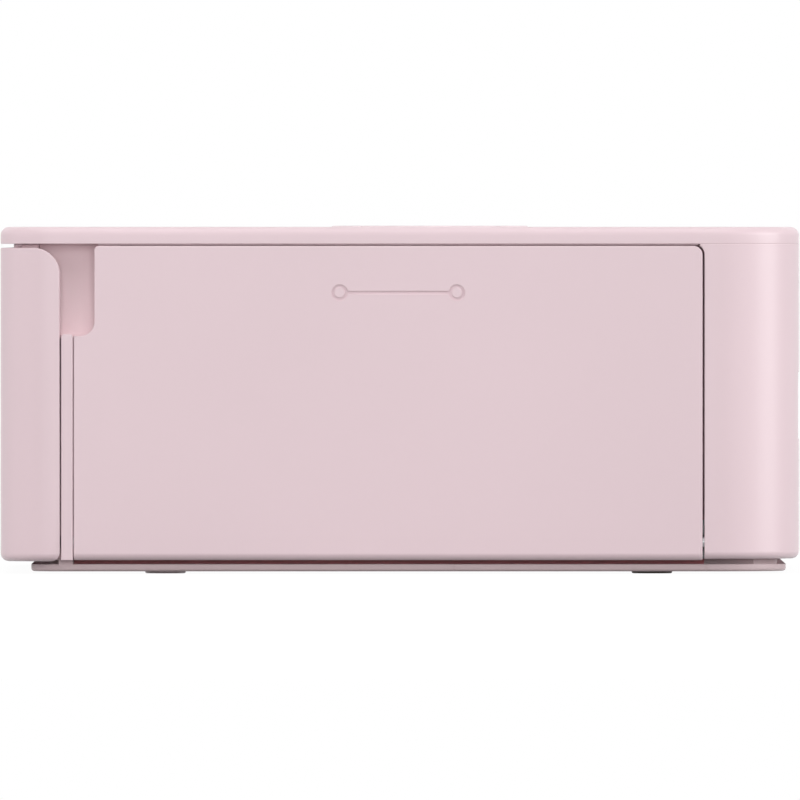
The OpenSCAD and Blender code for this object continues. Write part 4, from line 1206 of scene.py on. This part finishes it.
# %% The window's glass and the feet
FOOT_ROUND = 0.3 * MM
DIMPLE_IN = 0.8 * MM
DIMPLE_UP = 0.1 * MM
GLASS_EDGE = 0.15 * MM
window = block("screen_glass_plate", window_low, window_high)
round_edges(window, upright, GLASS_ROUND - GLASS_GAP, 6)
round_edges(window, lies(z=window_high.z), GLASS_EDGE, 3)
smooth(window)


def foot(name, place):
    """A round foot with a soft lower edge and a shallow dish under it."""
    piece = column(name, place, 0, base_z0 + FOOT_SINK, FOOT_R)
    round_edges(piece, lies(z=0), FOOT_ROUND, 4)
    pick(piece, "FACE", lambda centre, normal: normal.z < -0.99)
    bpy.ops.mesh.inset(thickness=DIMPLE_IN)
    bpy.ops.transform.translate(value=(0, 0, DIMPLE_UP))
    leave()
    smooth(piece)
    return piece


feet = [foot(f"foot_{number}", place) for number, place in enumerate(FOOT_PLACES)]

# %% [markdown]
# ## Finishes
#
# The casing is satin plastic moulded in colour. Its surface is not quite even: the tone
# drifts by a percent or two over centimetres, and a spark-eroded tool leaves a grain of
# a few tenths of a millimetre that softens every highlight. Both come from noise on the
# piece's own coordinates, one slow and one fine, so no picture is needed. On the panel
# round the cassette the colour is painted pinker, then deep rose, with depth behind the
# casing's side: painted bounce light in the finger recess and painted shade in the gaps.

# %% A moulded plastic
def drifting(colour, amount):
    """The colour given, a little darker and a little lighter."""
    return [tuple(c * (1 + side * amount) for c in colour[:3]) + (1.0,) for side in (-1, 1)]


def finish(name):
    """A new material, its graph and the coordinates of the piece in metres."""
    material = bpy.data.materials.new(name)
    material.use_nodes = True
    graph = Graph(material.node_tree)
    return material, graph, graph.node("TexCoord", output="Object")


def plastic(name, colour, roughness=0.36, drift=0.02, grain=0.05, grain_size=0.35, painted_shade_by_depth=None):
    """Plastic moulded in colour. The grain's size is in millimetres.

    A list of (depth, colour) pairs paints shade and bounce light by depth below the casing's right side.
    """
    material, graph, place = finish(name)
    slow = graph.noise(place, 18.0, 2.0)
    fine = graph.noise(place, 1.0 / (grain_size * MM), 1.0)
    tone = graph.ramp(slow, list(zip((0.3, 0.7), drifting(colour, drift))))
    # Painted shade and bounce light: the colour turns with depth behind the casing's right side.
    if painted_shade_by_depth:
        across = graph.node("SeparateXYZ", None, place)
        deepest = painted_shade_by_depth[-1][0] * 1.01
        tone = graph.ramp((across * -1.0 + SIDE) * (1 / deepest),
                          [(depth / deepest, shade) for depth, shade in painted_shade_by_depth])
    graph.principled(Base_Color=tone, Roughness=slow * 0.06 + (roughness - 0.03), IOR=1.5,
                     Normal=graph.bump(fine, grain, 0.05 * MM))
    return material


print("pink drifts between:", [[round(c, 3) for c in shade[:3]] for shade in drifting(CASE_PINK, 0.02)])

# %% [markdown]
# ### The other finishes
#
# Inside are bare sheet steel, ground shafts, rubber rollers, white gear plastic and
# green boards. Each is one small recipe. Steel and brass are brushed: their noise is
# stretched along the printer's width, as the sheet was rolled. The window is glossy and
# black, with the sleeping display a shade lighter inside its printed border.

# %% Metals, circuit boards and window glass
WIDTHWAYS = (0.06, 1.0, 1.0)
EVEN = (1.0, 1.0, 1.0)
COPPER = (0.55, 0.5, 0.42, 1)
LACQUER = [(0.006, 0.06, 0.025, 1), (0.012, 0.105, 0.04, 1)]
BORDER = (0.005, 0.005, 0.006, 1)
DISPLAY = (0.028, 0.03, 0.036, 1)
BORDER_X = 5.0 * MM
BORDER_Y = 6.0 * MM


def metal(name, colour, roughness=0.32, brushed=0.12, stretch=WIDTHWAYS):
    """Brushed metal: fine streaks vary how dull it is."""
    material, graph, place = finish(name)
    streaks = graph.noise(graph.node("Mapping", None, Vector=place, Scale=stretch), 1800.0, 3.0)
    stain = graph.noise(place, 60.0, 2.0)
    graph.principled(Base_Color=graph.ramp(stain, list(zip((0.35, 0.65), drifting(colour, 0.05)))),
                     Roughness=streaks * brushed + (roughness - brushed / 2), Metallic=1.0,
                     Normal=graph.bump(streaks, 0.1, 0.02 * MM))
    return material


def circuit_board(name):
    """Green lacquer over copper: tracks run under it as lines a little lighter."""
    material, graph, place = finish(name)
    tracks = graph.node("TexBrick", None, Vector=place, Scale=150.0, Color1=(0, 0, 0, 1),
                        Color2=(0, 0, 0, 1), Mortar=(1, 1, 1, 1), Mortar_Size=0.04, output=1)
    pads = graph.node("TexVoronoi", None, Vector=place, Scale=420.0).below(0.16)
    graph.principled(Base_Color=graph.mix(pads, graph.mix(tracks, *LACQUER), COPPER), Roughness=0.35,
                     Normal=graph.bump(tracks, 0.2, 0.03 * MM))
    return material


def window_glass(name):
    """Black glass with the unlit display a shade lighter inside its border."""
    material, graph, place = finish(name)
    centre = (window_low + window_high) / 2
    half = (window_high - window_low) / 2
    across, deep = (graph.node("SeparateXYZ", None, place, output=axis) for axis in (0, 1))
    inside = across.off(centre.x).below(half.x - BORDER_X) * deep.off(centre.y).below(half.y - BORDER_Y)
    graph.principled(Base_Color=graph.ramp(inside, [(0.0, BORDER), (1.0, DISPLAY)]),
                     Roughness=graph.noise(place, 40.0, 3.0) * 0.06 + 0.04, IOR=1.52, Specular_IOR_Level=0.3)
    return material


# Painted light for the bay panel: a pinker tint paints bounce light in the finger recess, and a deep rose
# paints shade in the gaps behind the door and the cover.
RECESS_BOUNCE_PINK = linear(231, 202, 207)
GAP_SHADE_ROSE = linear(203, 152, 160)
finishes = {
    "case_pink": plastic("satin pink plastic", CASE_PINK),
    "panel_painted_shade": plastic("bay panel plastic", CASE_PINK, painted_shade_by_depth=[
        (0.3 * MM, CASE_PINK), (1.0 * MM, RECESS_BOUNCE_PINK), (4.15 * MM, RECESS_BOUNCE_PINK), (4.25 * MM, GAP_SHADE_ROSE)]),
    "base_mauve": plastic("base plastic", linear(203, 182, 185), 0.5),
    # A rose strip in the gap below the door: painted bounce light and shade.
    "painted_bounce_rose": plastic("rose felt", linear(232, 150, 156), 0.9, 0.08, 0.3, 0.2),
    "frame_mauve": plastic("frame plastic", linear(226, 198, 203), 0.46),
    "key_plastic": plastic("key plastic", linear(232, 214, 218), 0.36, 0.01),
    "foot_rubber": plastic("foot rubber", linear(69, 58, 54), 0.75, 0.06, 0.4, 0.3),
    "roller_rubber": plastic("roller rubber", linear(46, 46, 48), 0.65, 0.05, 0.3, 0.25),
    "screen_glass": window_glass("black window glass"),
    "steel": metal("sheet steel", (0.56, 0.57, 0.58, 1)),
    "alloy": metal("cast alloy", (0.62, 0.62, 0.61, 1), 0.42, 0.08, EVEN),
    "brass": metal("brass", (0.75, 0.53, 0.23, 1), 0.28),
    "board_green": circuit_board("circuit board"),
    "black_plastic": plastic("black plastic", linear(38, 38, 40), 0.48, 0.05, 0.15, 0.3),
    "gear_plastic": plastic("gear plastic", linear(236, 233, 222), 0.38, 0.02, 0.03),
    "cassette_plastic": plastic("cassette plastic", linear(216, 216, 214), 0.44, 0.02, 0.08),
    "head_ceramic": plastic("head ceramic", linear(226, 222, 208), 0.3, 0.03, 0.03),
    "film": plastic("ribbon film", linear(48, 36, 58), 0.16, 0.12, 0.02, 2.0),
}
print("finishes:", len(finishes))

# %% Dress and place the casing
placed = []


def place_piece(piece, body, slot, *nodes, finish=None):
    """Gives a finished piece its finish and its body, and hides the CAD nodes that it stands for."""
    piece.data.materials.clear()
    piece.data.materials.append(finishes[finish or slot])
    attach(piece, body)
    if nodes:
        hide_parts(*nodes)
    placed.append(piece.name)


for node, cap in caps.items():
    place_piece(cap, node, "key_plastic", node)
place_piece(window, "chassis", "screen_glass", "screen_window")
place_piece(feet[0], "chassis", "case_pink", "front_feet")
place_piece(feet[1], "chassis", "case_pink")
place_piece(feet[2], "chassis", "foot_rubber", "rear_feet")
place_piece(feet[3], "chassis", "foot_rubber")
# The bay panel's finish paints shade and bounce light by depth.
place_piece(bay_panel, "chassis", "case_pink", "ribbon_bay_frame", finish="panel_painted_shade")
place_piece(cover_frame, "chassis", "frame_mauve", "front_frame")
place_piece(slot_lining, "chassis", "frame_mauve", "rear_slot_frame")
place_piece(cassette, "cassette", "cassette_plastic", "cassette_case")
place_piece(lever, "eject_lever", "black_plastic", "eject_lever")
place_piece(lid, "chassis", "case_pink", "top_lid")
place_piece(shell, "chassis", "case_pink", "body_shell")
place_piece(base, "chassis", "base_mauve", "base_tray")
# The strip at the back of the gap under the door carries painted bounce light.
place_piece(bounce_strip, "chassis", "base_mauve", finish="painted_bounce_rose")
place_piece(cover, "front_cover", "case_pink", "front_cover")
place_piece(door, "ribbon_door", "case_pink", "ribbon_door")
print("pieces made here:", len(placed))

# %% [markdown]
# ## The mechanism keeps its own shapes
#
# Shafts, rollers, gears, plates and boards are already exact in the frame. They stay as
# they are and only take their finish, each from the slot that the record names.

# %% Finishes for the nodes that stay
slot_of = {part["node"]: part["material_slot"] for part in frame["record"]["subparts"]}
kept = [node for node in frame["nodes"].values() if not node.hide_render]
for node in kept:
    slots = node.data.materials
    if not slots:
        slots.append(None)
    for index in range(len(slots)):
        slots[index] = finishes[slot_of[node.name]]
print("nodes kept from the frame:", len(kept))
